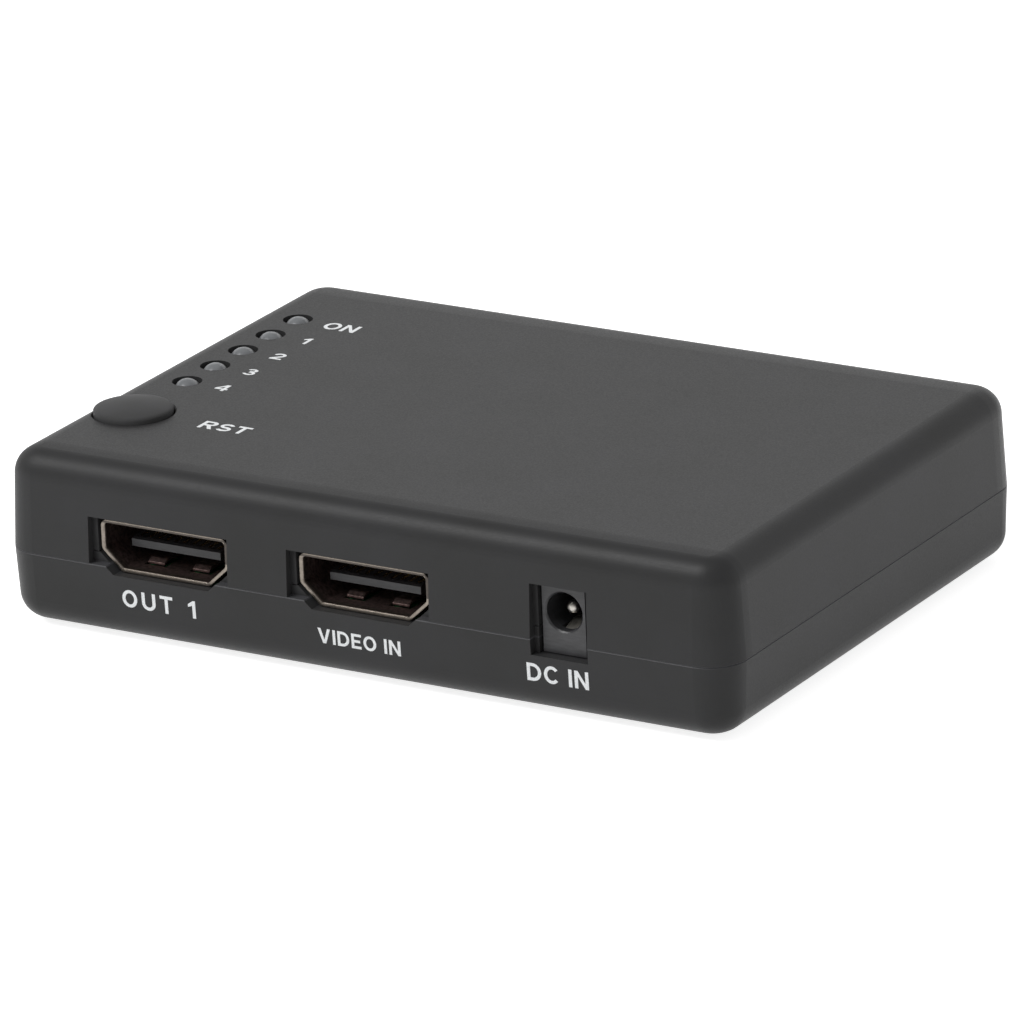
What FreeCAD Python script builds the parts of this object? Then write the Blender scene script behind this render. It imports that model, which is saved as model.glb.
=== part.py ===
import FreeCAD, Part
import math
import os

from FreeCAD import Vector

# A one-in, four-out video splitter box. Millimetres, +Z up, origin on the surface that it stands
# on, under its centre. +X runs along the long side, to the right as seen from the front. The front
# faces -Y. A place called an inset is measured inwards from the case's edge at the parting line.

# Driving dimensions: the moulded case
case_length = 82.5
case_depth = 60.0
lower_height = 7.6
upper_height = 10.2
wall = 1.8
floor_thickness = 1.8
ceiling_thickness = 1.8
corner_radius = 3.8
top_fillet = 2.7
bottom_fillet = 2.8
inner_top_fillet = 0.8
inner_bottom_fillet = 1.0
upper_draft_angle = 2.8
lower_draft_angle = 2.8
parting_chamfer = 0.08
lip_height = 1.05
lip_thickness = 0.85
lip_root = 0.5
lap_clearance = 0.08
rib_root = 0.5
port_rim_gap = 0.28
overcut = 1.0

# Driving dimensions: feet, screws and bosses
foot_radius = 4.0
foot_thickness = 1.0
foot_recess = 0.5
foot_recess_clearance = 0.15
foot_edge_inset = 11.5
foot_edge_chamfer = 0.15
screw_edge_inset = 6.3
screw_shaft_radius = 1.1
screw_length = 9.0
screw_point_length = 1.2
screw_point_radius = 0.3
screw_head_radius = 2.05
screw_head_height = 1.5
screw_head_flat_radius = 1.3
screw_head_bevel_height = 0.5
screw_seat_depth = 2.3
screw_side_clearance = 0.3
screw_hole_clearance = 0.15
screw_thread_clearance = 0.02
screw_point_room = 1.0
upper_boss_radius = 2.5
boss_draft_angle = 1.5
lower_boss_wall = 1.0
boss_root = 0.8
boss_web_thickness = 1.0
boss_web_gap = 1.5

# Driving dimensions: the board, its posts, and the lid's ribs that hold the sockets down
board_thickness = 1.6
board_below_parting = 0.72
board_clearance = 0.5
board_corner_radius = 1.6
hole_clearance = 0.12
post_radius = 1.6
post_root_radius = 1.92
post_row_inset = 12.3
rib_thickness = 1.2
rib_spacing = 7.0
rib_socket_gap = 0.15
rib_wall_gap = 2.2
rib_back_inset = 1.5

# Driving dimensions: the video sockets
socket_mouth_width = 14.0
socket_mouth_height = 4.55
socket_floor_width = 9.8
socket_slant_height = 1.95
socket_corner_radius = 0.4
shell_sheet = 0.34
socket_length = 11.0
socket_recess = 1.05
mouth_chamfer = 0.06
tongue_width = 10.3
tongue_thickness = 1.05
tongue_height = 2.1
tongue_recess = 2.1
tongue_chamfer_length = 0.4
tongue_chamfer_height = 0.14
tongue_root = 0.5
socket_depth = 7.5
insulator_back_thickness = 1.3
insulator_clearance = 0.03
contact_pitch = 1.0
upper_contact_count = 10
lower_contact_count = 9
contact_width = 0.36
contact_thickness = 0.16
contact_front_gap = 0.3
tail_length = 1.4
tail_row_step = 0.7
tail_window_length = 2.72
finger_width = 1.9
finger_gap = 0.28
finger_sheet = 0.26
finger_root = 7.0
finger_tip = 2.4
finger_crest = 3.5
finger_crest_length = 0.5
finger_bend_length = 0.5
finger_root_lap = 0.4
finger_height = 0.42
finger_tip_height = 0.13
upper_finger_offset = 3.4
lower_finger_offset = 2.6
back_plate_side_gap = 0.8
leg_width = 1.5
leg_drop = 0.8
leg_root = 0.4
leg_point_length = 0.5
leg_point_taper = 0.35
front_leg_place = 3.2
back_leg_inset = 1.4
first_output_inset = 18.75
front_socket_spacing = 22.95
rear_socket_inset = 18.3
slot_side_gap = 0.725
slot_offset = 0.215
slot_top_gap = 0.36
notch_bottom_gap = 0.08
notch_side_gap = 0.6

# Driving dimensions: the power jack
jack_inset = 18.5
jack_axis_height = 3.52
jack_bore = 3.95
jack_width = 4.75
jack_top_wall = 0.65
jack_length = 9.6
jack_bore_depth = 7.4
jack_recess = 1.25
jack_lip_drop = 0.78
jack_lip_gap = 0.12
jack_board_gap = 0.1
jack_slot_side_gap = 0.795
jack_slot_top_gap = 0.2
jack_edge_chamfer = 0.25
jack_lead_in = 0.15
pin_radius = 0.65
pin_root_radius = 0.9
pin_nose = 0.5
pin_tip_recess = 1.35
pin_rivet_length = 0.3
spring_width = 1.5
spring_side_gap = 0.1
spring_sheet = 0.2
spring_rise = 0.35
spring_front_recess = 1.3
spring_back_gap = 0.4
spring_front_drop = 0.2
spring_back_drop = 0.6
spring_slope_length = 1.7
spring_crest_length = 0.86
spring_slot_front = 1.0
spring_slot_back_wall = 0.8
terminal_width = 1.2
terminal_sheet = 0.3
terminal_rise = 0.5

# Driving dimensions: the row of lamps, and the button at its end
lamp_edge_inset = 6.05
first_lamp_inset = 12.9
button_row_gap = 1.917
lamp_radius = 1.45
lamp_height = 5.3
lamp_nose_rise = 0.25
lamp_flange_radius = 1.9
lamp_flange_thickness = 0.9
lamp_hole_clearance = 0.1
lamp_collar_wall = 0.9
lamp_collar_drop = 1.6
lamp_lead_size = 0.5
lamp_lead_pitch = 2.54
lamp_lead_hole_radius = 0.5
lead_below_board = 0.8
button_edge_inset = 6.15
button_front_inset = 15.8
button_radius = 4.03
button_running_clearance = 0.1
button_crown = 0.85
button_crown_fullness = 0.76
button_shoulder_height = 0.32
button_shoulder_fillet = 0.16
button_wall = 1.2
button_roof = 1.75
button_flange_overlap = 0.8
button_flange_thickness = 1.0
button_flange_clearance = 0.2
button_flange_wall_gap = 0.3
button_stem_radius = 1.3
button_travel = 0.25
button_hole_chamfer = 0.2

# Driving dimensions: the switch under the button
switch_size = 6.0
switch_body_height = 3.2
switch_floor_height = 1.2
switch_cover_sheet = 0.3
switch_corner_chamfer = 0.4
plunger_radius = 1.7
plunger_stand = 1.5
plunger_side_clearance = 0.08
plunger_flange_radius = 2.05
plunger_flange_height = 0.5
plunger_core_radius = 1.0
dome_radius = 2.0
dome_spare_rise = 0.2
dome_sheet = 0.12
dome_flat_radius = 0.4
dome_fullness = 0.78
rest_gap = 0.02
switch_leg_width = 0.7
switch_leg_sheet = 0.25
switch_leg_pitch = 4.5
switch_leg_height = 1.6

# Driving dimensions: the splitter chip, the memory chip and the crystal
chip_side = 10.0
chip_height = 0.9
chip_corner_radius = 0.2
chip_left_of_centre = 2.0
chip_behind_centre = 3.0
dimple_radius = 0.5
dimple_depth = 0.1
dimple_inset = 1.2
body_waist = 0.18
body_stand = 0.1
gull_sheet = 0.2
gull_knee = 0.35
memory_length = 4.9
memory_width = 3.9
memory_height = 1.4
memory_spacing = 16.0
memory_offset = 5.0
memory_lead_count = 4
memory_lead_pitch = 1.27
memory_lead_width = 0.4
memory_lead_reach = 1.0
crystal_length = 10.0
crystal_width = 3.4
crystal_end_radius = 1.69
crystal_height = 3.2
crystal_foot_height = 0.4
crystal_foot_margin = 0.6
crystal_spacing = 15.5

# Driving dimensions: the power supply at the board's right end
regulator_length = 6.5
regulator_width = 3.5
regulator_height = 1.6
regulator_inset = 13.75
regulator_behind_centre = 4.0
regulator_lead_pitch = 2.3
regulator_lead_width = 0.7
regulator_tab_width = 3.0
regulator_lead_reach = 1.5
inductor_side = 6.0
inductor_height = 2.8
inductor_corner = 0.8
inductor_groove_radius = 2.5
inductor_core_radius = 2.2
inductor_groove_depth = 0.4
inductor_inset = 23.25
inductor_behind_centre = 8.0
can_radius = 2.5
can_height = 4.5
can_bead_start = 0.7
can_bead_half = 0.25
can_bead_depth = 0.3
can_edge = 0.3
can_base_height = 0.9
can_base_margin = 0.15
can_base_corner = 0.8
front_can_inset = 10.25
front_can_before_centre = 8.5
rear_can_inset = 9.25
rear_can_behind_centre = 12.0

# Driving dimensions: the small blocks, each a length, a width and a height
surge_block = Vector(2.5, 1.4, 0.6)
surge_offset = 3.0
surge_gap = 2.0
resistor_block = Vector(0.8, 1.6, 0.45)
resistor_pitch = 1.75
resistor_gap = 2.5
lamp_resistor_spacing = 5.0
capacitor_block = Vector(0.9, 1.6, 0.8)
capacitor_gap = 3.0

# Heights above the surface that the box stands on
case_bottom = foot_thickness - foot_recess
parting = case_bottom + lower_height
case_top = parting + upper_height
floor_top = case_bottom + floor_thickness
ceiling = case_top - ceiling_thickness
lip_top = parting + lip_height
board_top = parting - board_below_parting
board_bottom = board_top - board_thickness

# Half sizes at the parting line, where the case is widest
half_length = case_length / 2
half_depth = case_depth / 2
inner_half_length = half_length - wall
inner_half_depth = half_depth - wall
inner_corner_radius = corner_radius - wall
rim_y = inner_half_depth + lip_thickness
board_half_length = inner_half_length - board_clearance
board_half_depth = inner_half_depth - board_clearance
foot_x = half_length - foot_edge_inset
foot_y = half_depth - foot_edge_inset
post_y = half_depth - post_row_inset
screw_x = half_length - screw_edge_inset
screw_y = half_depth - screw_edge_inset
screw_seat = case_bottom + screw_seat_depth
screw_hole_radius = screw_shaft_radius + screw_hole_clearance
counterbore_radius = screw_head_radius + screw_side_clearance
lower_boss_radius = counterbore_radius + lower_boss_wall
ceiling_inset = (ceiling - parting) * math.tan(math.radians(upper_draft_angle))
inner_wall_x_at_ceiling = -inner_half_length + ceiling_inset

# Sockets: the mouth stands behind the case wall, the shell sits flat on the board
shell_height = socket_mouth_height + 2 * shell_sheet
shell_width = socket_mouth_width + 2 * shell_sheet
mouth_y = -half_depth + socket_recess
slant_run = (socket_mouth_width - socket_floor_width) / 2
slot_half = shell_width / 2 + slot_side_gap
slot_rim_half = shell_width / 2 + port_rim_gap
slot_top = board_top + shell_height + slot_top_gap
notch_bottom = board_top - notch_bottom_gap
tongue_mid = shell_sheet + tongue_height
tongue_top = tongue_mid + tongue_thickness / 2
tongue_bottom = tongue_mid - tongue_thickness / 2
contact_start = tongue_recess + tongue_chamfer_length + contact_front_gap
leg_places = [front_leg_place, socket_length - back_leg_inset]
first_output_x = -half_length + first_output_inset
input_x = first_output_x + front_socket_spacing
rear_spacing = half_length - rear_socket_inset
front_sockets = {"output_1": first_output_x, "input": input_x}
rear_sockets = {"output_2": rear_spacing, "output_3": 0.0, "output_4": -rear_spacing}

# Jack: its axis stands above the board, its front lip hangs over the board's edge
jack_x = half_length - jack_inset
jack_axis = board_top + jack_axis_height
jack_top = jack_axis + jack_bore / 2 + jack_top_wall
jack_face_y = -half_depth + jack_recess
jack_back_y = jack_face_y + jack_length
jack_bore_end_y = jack_face_y + jack_bore_depth
jack_lip_bottom = board_top - jack_lip_drop
jack_slot_half = jack_width / 2 + jack_slot_side_gap
jack_rim_half = jack_width / 2 + port_rim_gap
jack_slot_bottom = jack_lip_bottom - jack_lip_gap
jack_slot_top = jack_top + jack_slot_top_gap
spring_leg_y = jack_bore_end_y - spring_back_gap

# Lamps and button: the row shares out the depth between its first lamp and the button
lamp_names = ["power_led", "output_1_led", "output_2_led", "output_3_led", "output_4_led"]
lamp_x = -half_length + lamp_edge_inset
first_lamp_y = half_depth - first_lamp_inset
button_x = -half_length + button_edge_inset
button_y = -half_depth + button_front_inset
lamp_pitch = (first_lamp_y - button_y) / (len(lamp_names) - 1 + button_row_gap)
lamp_places = [(lamp_x, first_lamp_y - i * lamp_pitch) for i in range(len(lamp_names))]
lamp_top = case_top + lamp_nose_rise
lamp_base = lamp_top - lamp_height
lamp_hole_radius = lamp_radius + lamp_hole_clearance
button_hole_radius = button_radius + button_running_clearance
button_flange_radius = button_hole_radius + button_flange_overlap
button_flange_bottom = ceiling - button_flange_thickness

# Switch: the dome rests on the floor of the well, and the plunger rests on the dome
dome_rise = button_travel + dome_spare_rise
dome_seat = board_top + switch_floor_height
switch_body_top = board_top + switch_body_height
plunger_bottom = dome_seat + dome_rise + rest_gap
plunger_top = switch_body_top + switch_cover_sheet + plunger_stand

# Places on the board
chip_x = -chip_left_of_centre
chip_y = chip_behind_centre
memory_x = chip_x + memory_spacing
memory_y = chip_y - memory_offset
crystal_x = chip_x - crystal_spacing
regulator_x = half_length - regulator_inset
regulator_y = regulator_behind_centre
inductor_x = half_length - inductor_inset
inductor_y = inductor_behind_centre
can_places = [(half_length - front_can_inset, -front_can_before_centre),
              (half_length - rear_can_inset, rear_can_behind_centre)]

corner_signs = [(-1, -1), (1, -1), (1, 1), (-1, 1)]
up = Vector(0, 0, 1)
inwards = Vector(0, 1, 0)


def box(x0, x1, y0, y1, z0, z1):
    """A block between two corners, given in any order."""
    low = Vector(min(x0, x1), min(y0, y1), min(z0, z1))
    return Part.makeBox(abs(x1 - x0), abs(y1 - y0), abs(z1 - z0), low)


def pad(x, y, half_x, half_y, z0, z1):
    """A block centred on a place, between two heights."""
    return box(x - half_x, x + half_x, y - half_y, y + half_y, z0, z1)


def cylinder(radius, x, y, z0, z1):
    """An upright round bar between two heights."""
    return Part.makeCylinder(radius, z1 - z0, Vector(x, y, z0), up)


def cone(radius0, radius1, x, y, z0, z1):
    """An upright tapered bar between two heights."""
    return Part.makeCone(radius0, radius1, z1 - z0, Vector(x, y, z0), up)


def bar_inwards(radius, y0, y1):
    """A round bar on the jack's axis, from one depth to another."""
    return Part.makeCylinder(radius, y1 - y0, Vector(jack_x, y0, jack_axis), inwards)


def round_corner(before, corner, after, radius):
    """The two tangent points of a rounded corner, with the arc between them."""
    to_before = (before - corner).normalize()
    to_after = (after - corner).normalize()
    half_angle = to_before.getAngle(to_after) / 2
    reach = radius / math.tan(half_angle)
    start = corner + to_before * reach
    end = corner + to_after * reach
    middle = (to_before + to_after).normalize()
    centre = corner + middle * (radius / math.sin(half_angle))
    return start, end, Part.Arc(start, centre - middle * radius, end).toShape()


def rounded_outline(points, radius):
    """A closed wire through the points with every corner rounded, or sharp where radius is 0."""
    if radius == 0:
        return Part.makePolygon(points + [points[0]])
    count = len(points)
    corners = [round_corner(points[i - 1], points[i], points[(i + 1) % count], radius)
               for i in range(count)]
    edges = []
    for i in range(count):
        start, end, arc = corners[i]
        edges.append(arc)
        edges.append(Part.LineSegment(end, corners[(i + 1) % count][0]).toShape())
    return Part.Wire(edges)


def rounded_rectangle(half_x, half_y, radius, z):
    """A rectangle with round corners, level at height z."""
    points = [Vector(sx * half_x, sy * half_y, z) for sx, sy in corner_signs]
    return rounded_outline(points, radius)


def plate(half_x, half_y, radius, z0, z1):
    """An upright-sided plate with round corners."""
    face = Part.Face(rounded_rectangle(half_x, half_y, radius, z0))
    return face.extrude(up * (z1 - z0))


def drafted_block(half_x, half_y, radius, z_wide, z_narrow, draft_angle):
    """A moulded block: widest at one height and drawn in evenly towards the other."""
    inset = abs(z_narrow - z_wide) * math.tan(math.radians(draft_angle))
    wide = rounded_rectangle(half_x, half_y, radius, z_wide)
    narrow = rounded_rectangle(half_x - inset, half_y - inset, radius - inset, z_narrow)
    return Part.makeLoft([wide, narrow], True, True)


def level_edges(shape, z):
    """The edges of a shape that lie level at height z."""
    return [edge for edge in shape.Edges
            if abs(edge.BoundBox.ZMin - z) < 1e-4 and abs(edge.BoundBox.ZMax - z) < 1e-4]


def upright_edges(shape):
    """The edges of a shape that stand up."""
    return [edge for edge in shape.Edges if edge.BoundBox.ZLength > 1e-6]


def fuse_all(first, others):
    """One solid out of a solid and those that join it."""
    return first.fuse(others).removeSplitter()


def profile_yz(points, x0, x1):
    """A bar along X with the given outline of (y, z) points."""
    outline = Part.makePolygon([Vector(x0, y, z) for y, z in points + [points[0]]])
    return Part.Face(outline).extrude(Vector(x1 - x0, 0, 0))


def revolved(points, x, y):
    """A turned piece about an upright axis. A point is (radius, z), or (radius, z, radius and z
    of a point that an arc to it passes through)."""
    edges = []
    for first, second in zip(points, points[1:]):
        start = Vector(first[0], 0, first[1])
        end = Vector(second[0], 0, second[1])
        if len(second) == 4:
            edges.append(Part.Arc(start, Vector(second[2], 0, second[3]), end).toShape())
        else:
            edges.append(Part.LineSegment(start, end).toShape())
    solid = Part.Face(Part.Wire(edges)).revolve(Vector(0, 0, 0), up, 360)
    solid.translate(Vector(x, y, 0))
    return solid


# The case: a tray and a lid that lap at the parting line

def stepped_opening(x, shift, half, rim_half, z0, z1, rear):
    """An opening through the front or rear wall, wider in the wall's outer layer, where it stands
    shifted to the left as seen from outside. The inner layer is left as a rim behind its edges."""
    side = 1 if rear else -1
    outer_x = x + side * shift
    outer_y = side * (half_depth + overcut)
    return [box(outer_x - half, outer_x + half, side * rim_y, outer_y, z0, z1),
            box(x - rim_half, x + rim_half, side * (inner_half_depth - overcut), outer_y, z0, z1)]


def every_socket():
    """Each socket's x place, with whether it is in the rear wall."""
    return [(x, False) for x in front_sockets.values()] + [(x, True) for x in rear_sockets.values()]


def socket_notch(x, rear):
    """The notch below a socket through the tray's wall and lip, its flanks sloped like the shell's."""
    slope = slant_run / socket_slant_height
    above = lip_top + overcut
    half_low = socket_floor_width / 2 + notch_side_gap
    half_high = half_low + slope * (above - notch_bottom)
    start = inner_half_depth - overcut if rear else -half_depth - overcut
    points = [(-half_low, notch_bottom), (half_low, notch_bottom), (half_high, above), (-half_high, above)]
    outline = Part.makePolygon([Vector(x + px, start, pz) for px, pz in points + [points[0]]])
    return Part.Face(outline).extrude(inwards * (wall + 2 * overcut))


def upper_boss(sx, sy):
    """A tapered screw boss from the ceiling to the board, with webs to the two nearest walls."""
    x = sx * screw_x
    y = sy * screw_y
    root_radius = upper_boss_radius + (ceiling - board_top) * math.tan(math.radians(boss_draft_angle))
    root_top = ceiling + rib_root
    post = cone(upper_boss_radius, root_radius, x, y, board_top, ceiling)
    root = cylinder(root_radius, x, y, ceiling, root_top)
    web_bottom = lip_top + boss_web_gap
    reach_x = sx * (inner_half_length + wall / 2 - ceiling_inset)
    reach_y = sy * (inner_half_depth + wall / 2 - ceiling_inset)
    half_web = boss_web_thickness / 2
    web_x = box(x, reach_x, y - half_web, y + half_web, web_bottom, root_top)
    web_y = box(x - half_web, x + half_web, y, reach_y, web_bottom, root_top)
    return [post, root, web_x, web_y]


def socket_ribs():
    """Two ribs under the lid over each socket, which hold it down on the board."""
    ribs = []
    for x, rear in every_socket():
        side = 1 if rear else -1
        outer_y = side * (inner_half_depth - rib_wall_gap)
        inner_y = side * (abs(mouth_y) - socket_length + rib_back_inset)
        for offset in (-rib_spacing / 2, rib_spacing / 2):
            ribs.append(box(x + offset - rib_thickness / 2, x + offset + rib_thickness / 2, outer_y, inner_y,
                            board_top + shell_height + rib_socket_gap, ceiling + rib_root))
    return ribs


def button_room():
    """The room for the button's flange where the lid's inner fillet would meet it."""
    low = ceiling - inner_top_fillet - overcut
    room = cylinder(button_flange_radius + button_flange_clearance, button_x, button_y, low, ceiling)
    reach = 2 * button_flange_radius
    inside = box(inner_wall_x_at_ceiling, 0.0, button_y - reach, button_y + reach, low, ceiling)
    return room.common(inside)


def top_cover():
    """The lid: drafted walls, rounded top edge, rebate for the tray's lip, bosses and ribs."""
    outer = drafted_block(half_length, half_depth, corner_radius, parting, case_top, upper_draft_angle)
    outer = outer.makeFillet(top_fillet, level_edges(outer, case_top))
    outer = outer.makeChamfer(parting_chamfer, level_edges(outer, parting))
    inner = drafted_block(inner_half_length, inner_half_depth, inner_corner_radius,
                          parting, ceiling, upper_draft_angle)
    inner = inner.makeFillet(inner_top_fillet, level_edges(inner, ceiling))
    grow = lip_thickness + lap_clearance
    rebate = plate(inner_half_length + grow, inner_half_depth + grow, inner_corner_radius + grow,
                   parting, lip_top + lap_clearance)
    cover = outer.cut([inner, rebate])

    additions = socket_ribs()
    for sx, sy in corner_signs:
        additions += upper_boss(sx, sy)
    for x, y in lamp_places:
        additions.append(cylinder(lamp_hole_radius + lamp_collar_wall, x, y, ceiling - lamp_collar_drop,
                                  ceiling + rib_root))
    cover = fuse_all(cover, additions)

    below = parting - overcut
    cuts = stepped_opening(jack_x, 0.0, jack_slot_half, jack_rim_half, below, jack_slot_top, False)
    for x, rear in every_socket():
        cuts += stepped_opening(x, slot_offset, slot_half, slot_rim_half, below, slot_top, rear)
    for sx, sy in corner_signs:
        cuts.append(cylinder(screw_shaft_radius + screw_thread_clearance, sx * screw_x, sy * screw_y,
                             board_top - overcut, screw_seat + screw_length + screw_point_room))
    for x, y in lamp_places:
        cuts.append(cylinder(lamp_hole_radius, x, y, ceiling - lamp_collar_drop - overcut,
                             case_top + overcut))
    cuts.append(cylinder(button_hole_radius, button_x, button_y, ceiling - overcut, case_top + overcut))
    cuts.append(cone(button_hole_radius, button_hole_radius + 2 * button_hole_chamfer, button_x, button_y,
                     case_top - button_hole_chamfer, case_top + button_hole_chamfer))
    cuts.append(button_room())
    return cover.cut(cuts)


def bottom_cover():
    """The tray: floor, low walls with the lap lip, board bosses, posts and foot recesses."""
    outer = drafted_block(half_length, half_depth, corner_radius, parting, case_bottom, lower_draft_angle)
    outer = outer.makeFillet(bottom_fillet, level_edges(outer, case_bottom))
    outer = outer.makeChamfer(parting_chamfer, level_edges(outer, parting))
    inner = drafted_block(inner_half_length, inner_half_depth, inner_corner_radius,
                          parting, floor_top, lower_draft_angle)
    inner = inner.makeFillet(inner_bottom_fillet, level_edges(inner, floor_top))
    lip_outer = plate(inner_half_length + lip_thickness, inner_half_depth + lip_thickness,
                      inner_corner_radius + lip_thickness, parting - lip_root, lip_top)
    lip_inner = plate(inner_half_length, inner_half_depth, inner_corner_radius,
                      parting - lip_root - overcut, lip_top + overcut)
    tray = outer.cut(inner)

    additions = [lip_outer.cut(lip_inner)]
    root = case_bottom + boss_root
    for sx, sy in corner_signs:
        additions.append(cylinder(lower_boss_radius, sx * screw_x, sy * screw_y, root, board_bottom))
    for x, y in [(button_x, button_y), (0.0, post_y), (0.0, 0.0), (input_x, -post_y)]:
        additions.append(cone(post_root_radius, post_radius, x, y, root, board_bottom))
    tray = fuse_all(tray, additions)

    cuts = stepped_opening(jack_x, 0.0, jack_slot_half, jack_rim_half, jack_slot_bottom,
                           lip_top + overcut, False)
    cuts += [socket_notch(x, rear) for x, rear in every_socket()]
    for sx, sy in corner_signs:
        cuts.append(cylinder(counterbore_radius, sx * screw_x, sy * screw_y,
                             case_bottom - overcut, screw_seat))
        cuts.append(cylinder(screw_hole_radius, sx * screw_x, sy * screw_y,
                             case_bottom, board_bottom + overcut))
        cuts.append(cylinder(foot_radius + foot_recess_clearance, sx * foot_x, sy * foot_y,
                             case_bottom - overcut, case_bottom + foot_recess))
    return tray.cut(cuts)


def case_screws():
    """Four pan-head self-tapping screws, driven up through the tray."""
    head_bottom = screw_seat - screw_head_height
    tip = screw_seat + screw_length
    points = [(0.0, head_bottom), (screw_head_flat_radius, head_bottom),
              (screw_head_radius, head_bottom + screw_head_bevel_height),
              (screw_head_radius, screw_seat), (screw_shaft_radius, screw_seat),
              (screw_shaft_radius, tip - screw_point_length), (screw_point_radius, tip),
              (0.0, tip), (0.0, head_bottom)]
    return Part.Compound([revolved(points, sx * screw_x, sy * screw_y) for sx, sy in corner_signs])


def rubber_feet():
    """Four thin rubber discs, stuck in shallow round recesses."""
    feet = []
    for sx, sy in corner_signs:
        disc = cylinder(foot_radius, sx * foot_x, sy * foot_y, 0.0, foot_thickness)
        feet.append(disc.makeChamfer(foot_edge_chamfer, level_edges(disc, 0.0)))
    return Part.Compound(feet)


# A video socket, in its own frame: mouth at y = 0 facing -Y, standing on z = 0

def d_outline(grow, y):
    """The socket's D outline at depth y, grown by a margin all round."""
    half_top = socket_mouth_width / 2 + grow
    top = shell_sheet + socket_mouth_height + grow
    bottom = shell_sheet - grow
    slant_angle = math.atan2(socket_slant_height, slant_run)
    corner_shift = grow * math.tan((math.pi / 2 - slant_angle) / 2)
    slant_top = shell_sheet + socket_slant_height - corner_shift
    half_bottom = socket_floor_width / 2 + grow * math.tan(slant_angle / 2)
    points = [Vector(-half_top, y, top), Vector(-half_top, y, slant_top),
              Vector(-half_bottom, y, bottom), Vector(half_bottom, y, bottom),
              Vector(half_top, y, slant_top), Vector(half_top, y, top)]
    return rounded_outline(points, socket_corner_radius + max(grow, 0.0))


def d_block(grow, y0, y1):
    """A solid with the D outline, from one depth to another."""
    return Part.Face(d_outline(grow, y0)).extrude(inwards * (y1 - y0))


def spring_finger(x, wall_z, inward):
    """A finger cut out of the shell and bent inwards, to grip the plug."""
    under = wall_z - inward * finger_sheet / 2
    line = [(finger_root + finger_root_lap, 0.0), (finger_root - finger_bend_length, 0.0),
            (finger_crest, finger_height), (finger_crest - finger_crest_length, finger_height),
            (finger_tip, finger_tip_height)]
    outer_side = [(y, under + inward * rise) for y, rise in line]
    inner_side = [(y, under + inward * (rise + finger_sheet)) for y, rise in reversed(line)]
    return profile_yz(outer_side + inner_side, x - finger_width / 2, x + finger_width / 2)


def shell_leg(side, y):
    """A pointed leg from the shell's side wall down through the board."""
    half = leg_width / 2
    top = shell_sheet + socket_slant_height + leg_root
    bottom = -board_thickness - leg_drop
    point_half = half - leg_point_taper
    point_top = bottom + leg_point_length
    outline = [(y - half, top), (y - half, point_top), (y - point_half, bottom),
               (y + point_half, bottom), (y + half, point_top), (y + half, top)]
    outer_x = side * shell_width / 2
    inner_x = side * (shell_width / 2 - shell_sheet)
    return profile_yz(outline, min(inner_x, outer_x), max(inner_x, outer_x))


def socket_shell():
    """The folded steel shell with its flared mouth, gripping fingers, back plate and legs."""
    body = d_block(shell_sheet, 0.0, socket_length)
    cavity = d_block(0.0, -overcut, socket_length + overcut)
    mouth = Part.makeLoft([d_outline(mouth_chamfer, 0.0), d_outline(0.0, mouth_chamfer)], True, True)
    shell = body.cut([cavity, mouth])

    top = shell_sheet + socket_mouth_height
    fingers = [(side * upper_finger_offset, top, -1) for side in (-1, 1)]
    fingers += [(side * lower_finger_offset, shell_sheet, 1) for side in (-1, 1)]
    half = finger_width / 2 + finger_gap
    reach = shell_sheet + finger_gap
    cuts = [box(x - half, x + half, finger_tip - finger_gap, finger_root, z - reach, z + reach)
            for x, z, inward in fingers]
    cuts.append(box(-tongue_width / 2, tongue_width / 2, socket_length - tail_window_length,
                    socket_length + overcut, -overcut, shell_sheet + contact_thickness))
    shell = shell.cut(cuts)

    additions = [spring_finger(*finger) for finger in fingers]
    additions += [shell_leg(side, y) for side in (-1, 1) for y in leg_places]
    plate_half = shell_width / 2 - back_plate_side_gap
    additions.append(box(-plate_half, plate_half, socket_length - shell_sheet, socket_length,
                         shell_sheet + socket_slant_height, top + shell_sheet))
    return fuse_all(shell, additions)


def contact_rows():
    """The x places of the upper and lower contact rows, which interleave."""
    upper = [(i - (upper_contact_count - 1) / 2) * contact_pitch for i in range(upper_contact_count)]
    lower = [(i - (lower_contact_count - 1) / 2) * contact_pitch for i in range(lower_contact_count)]
    return upper, lower


def contact(x, run_z, leg_y):
    """One contact: along the tongue, through the insulator, down and out to a tail on the board."""
    sheet = contact_thickness
    tail_end = socket_length + tail_length
    points = [(contact_start, run_z), (leg_y, run_z), (leg_y, sheet), (tail_end, sheet), (tail_end, 0.0),
              (leg_y - sheet, 0.0), (leg_y - sheet, run_z - sheet), (contact_start, run_z - sheet)]
    return profile_yz(points, x - contact_width / 2, x + contact_width / 2)


def socket_contacts():
    """All contacts of a socket, let in flush with the tongue's top and underside."""
    upper, lower = contact_rows()
    upper_leg = socket_depth + insulator_back_thickness + 2 * tail_row_step
    lower_leg = upper_leg - tail_row_step
    pieces = [contact(x, tongue_top, upper_leg) for x in upper]
    pieces += [contact(x, tongue_bottom + contact_thickness, lower_leg) for x in lower]
    return Part.Compound(pieces)


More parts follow.
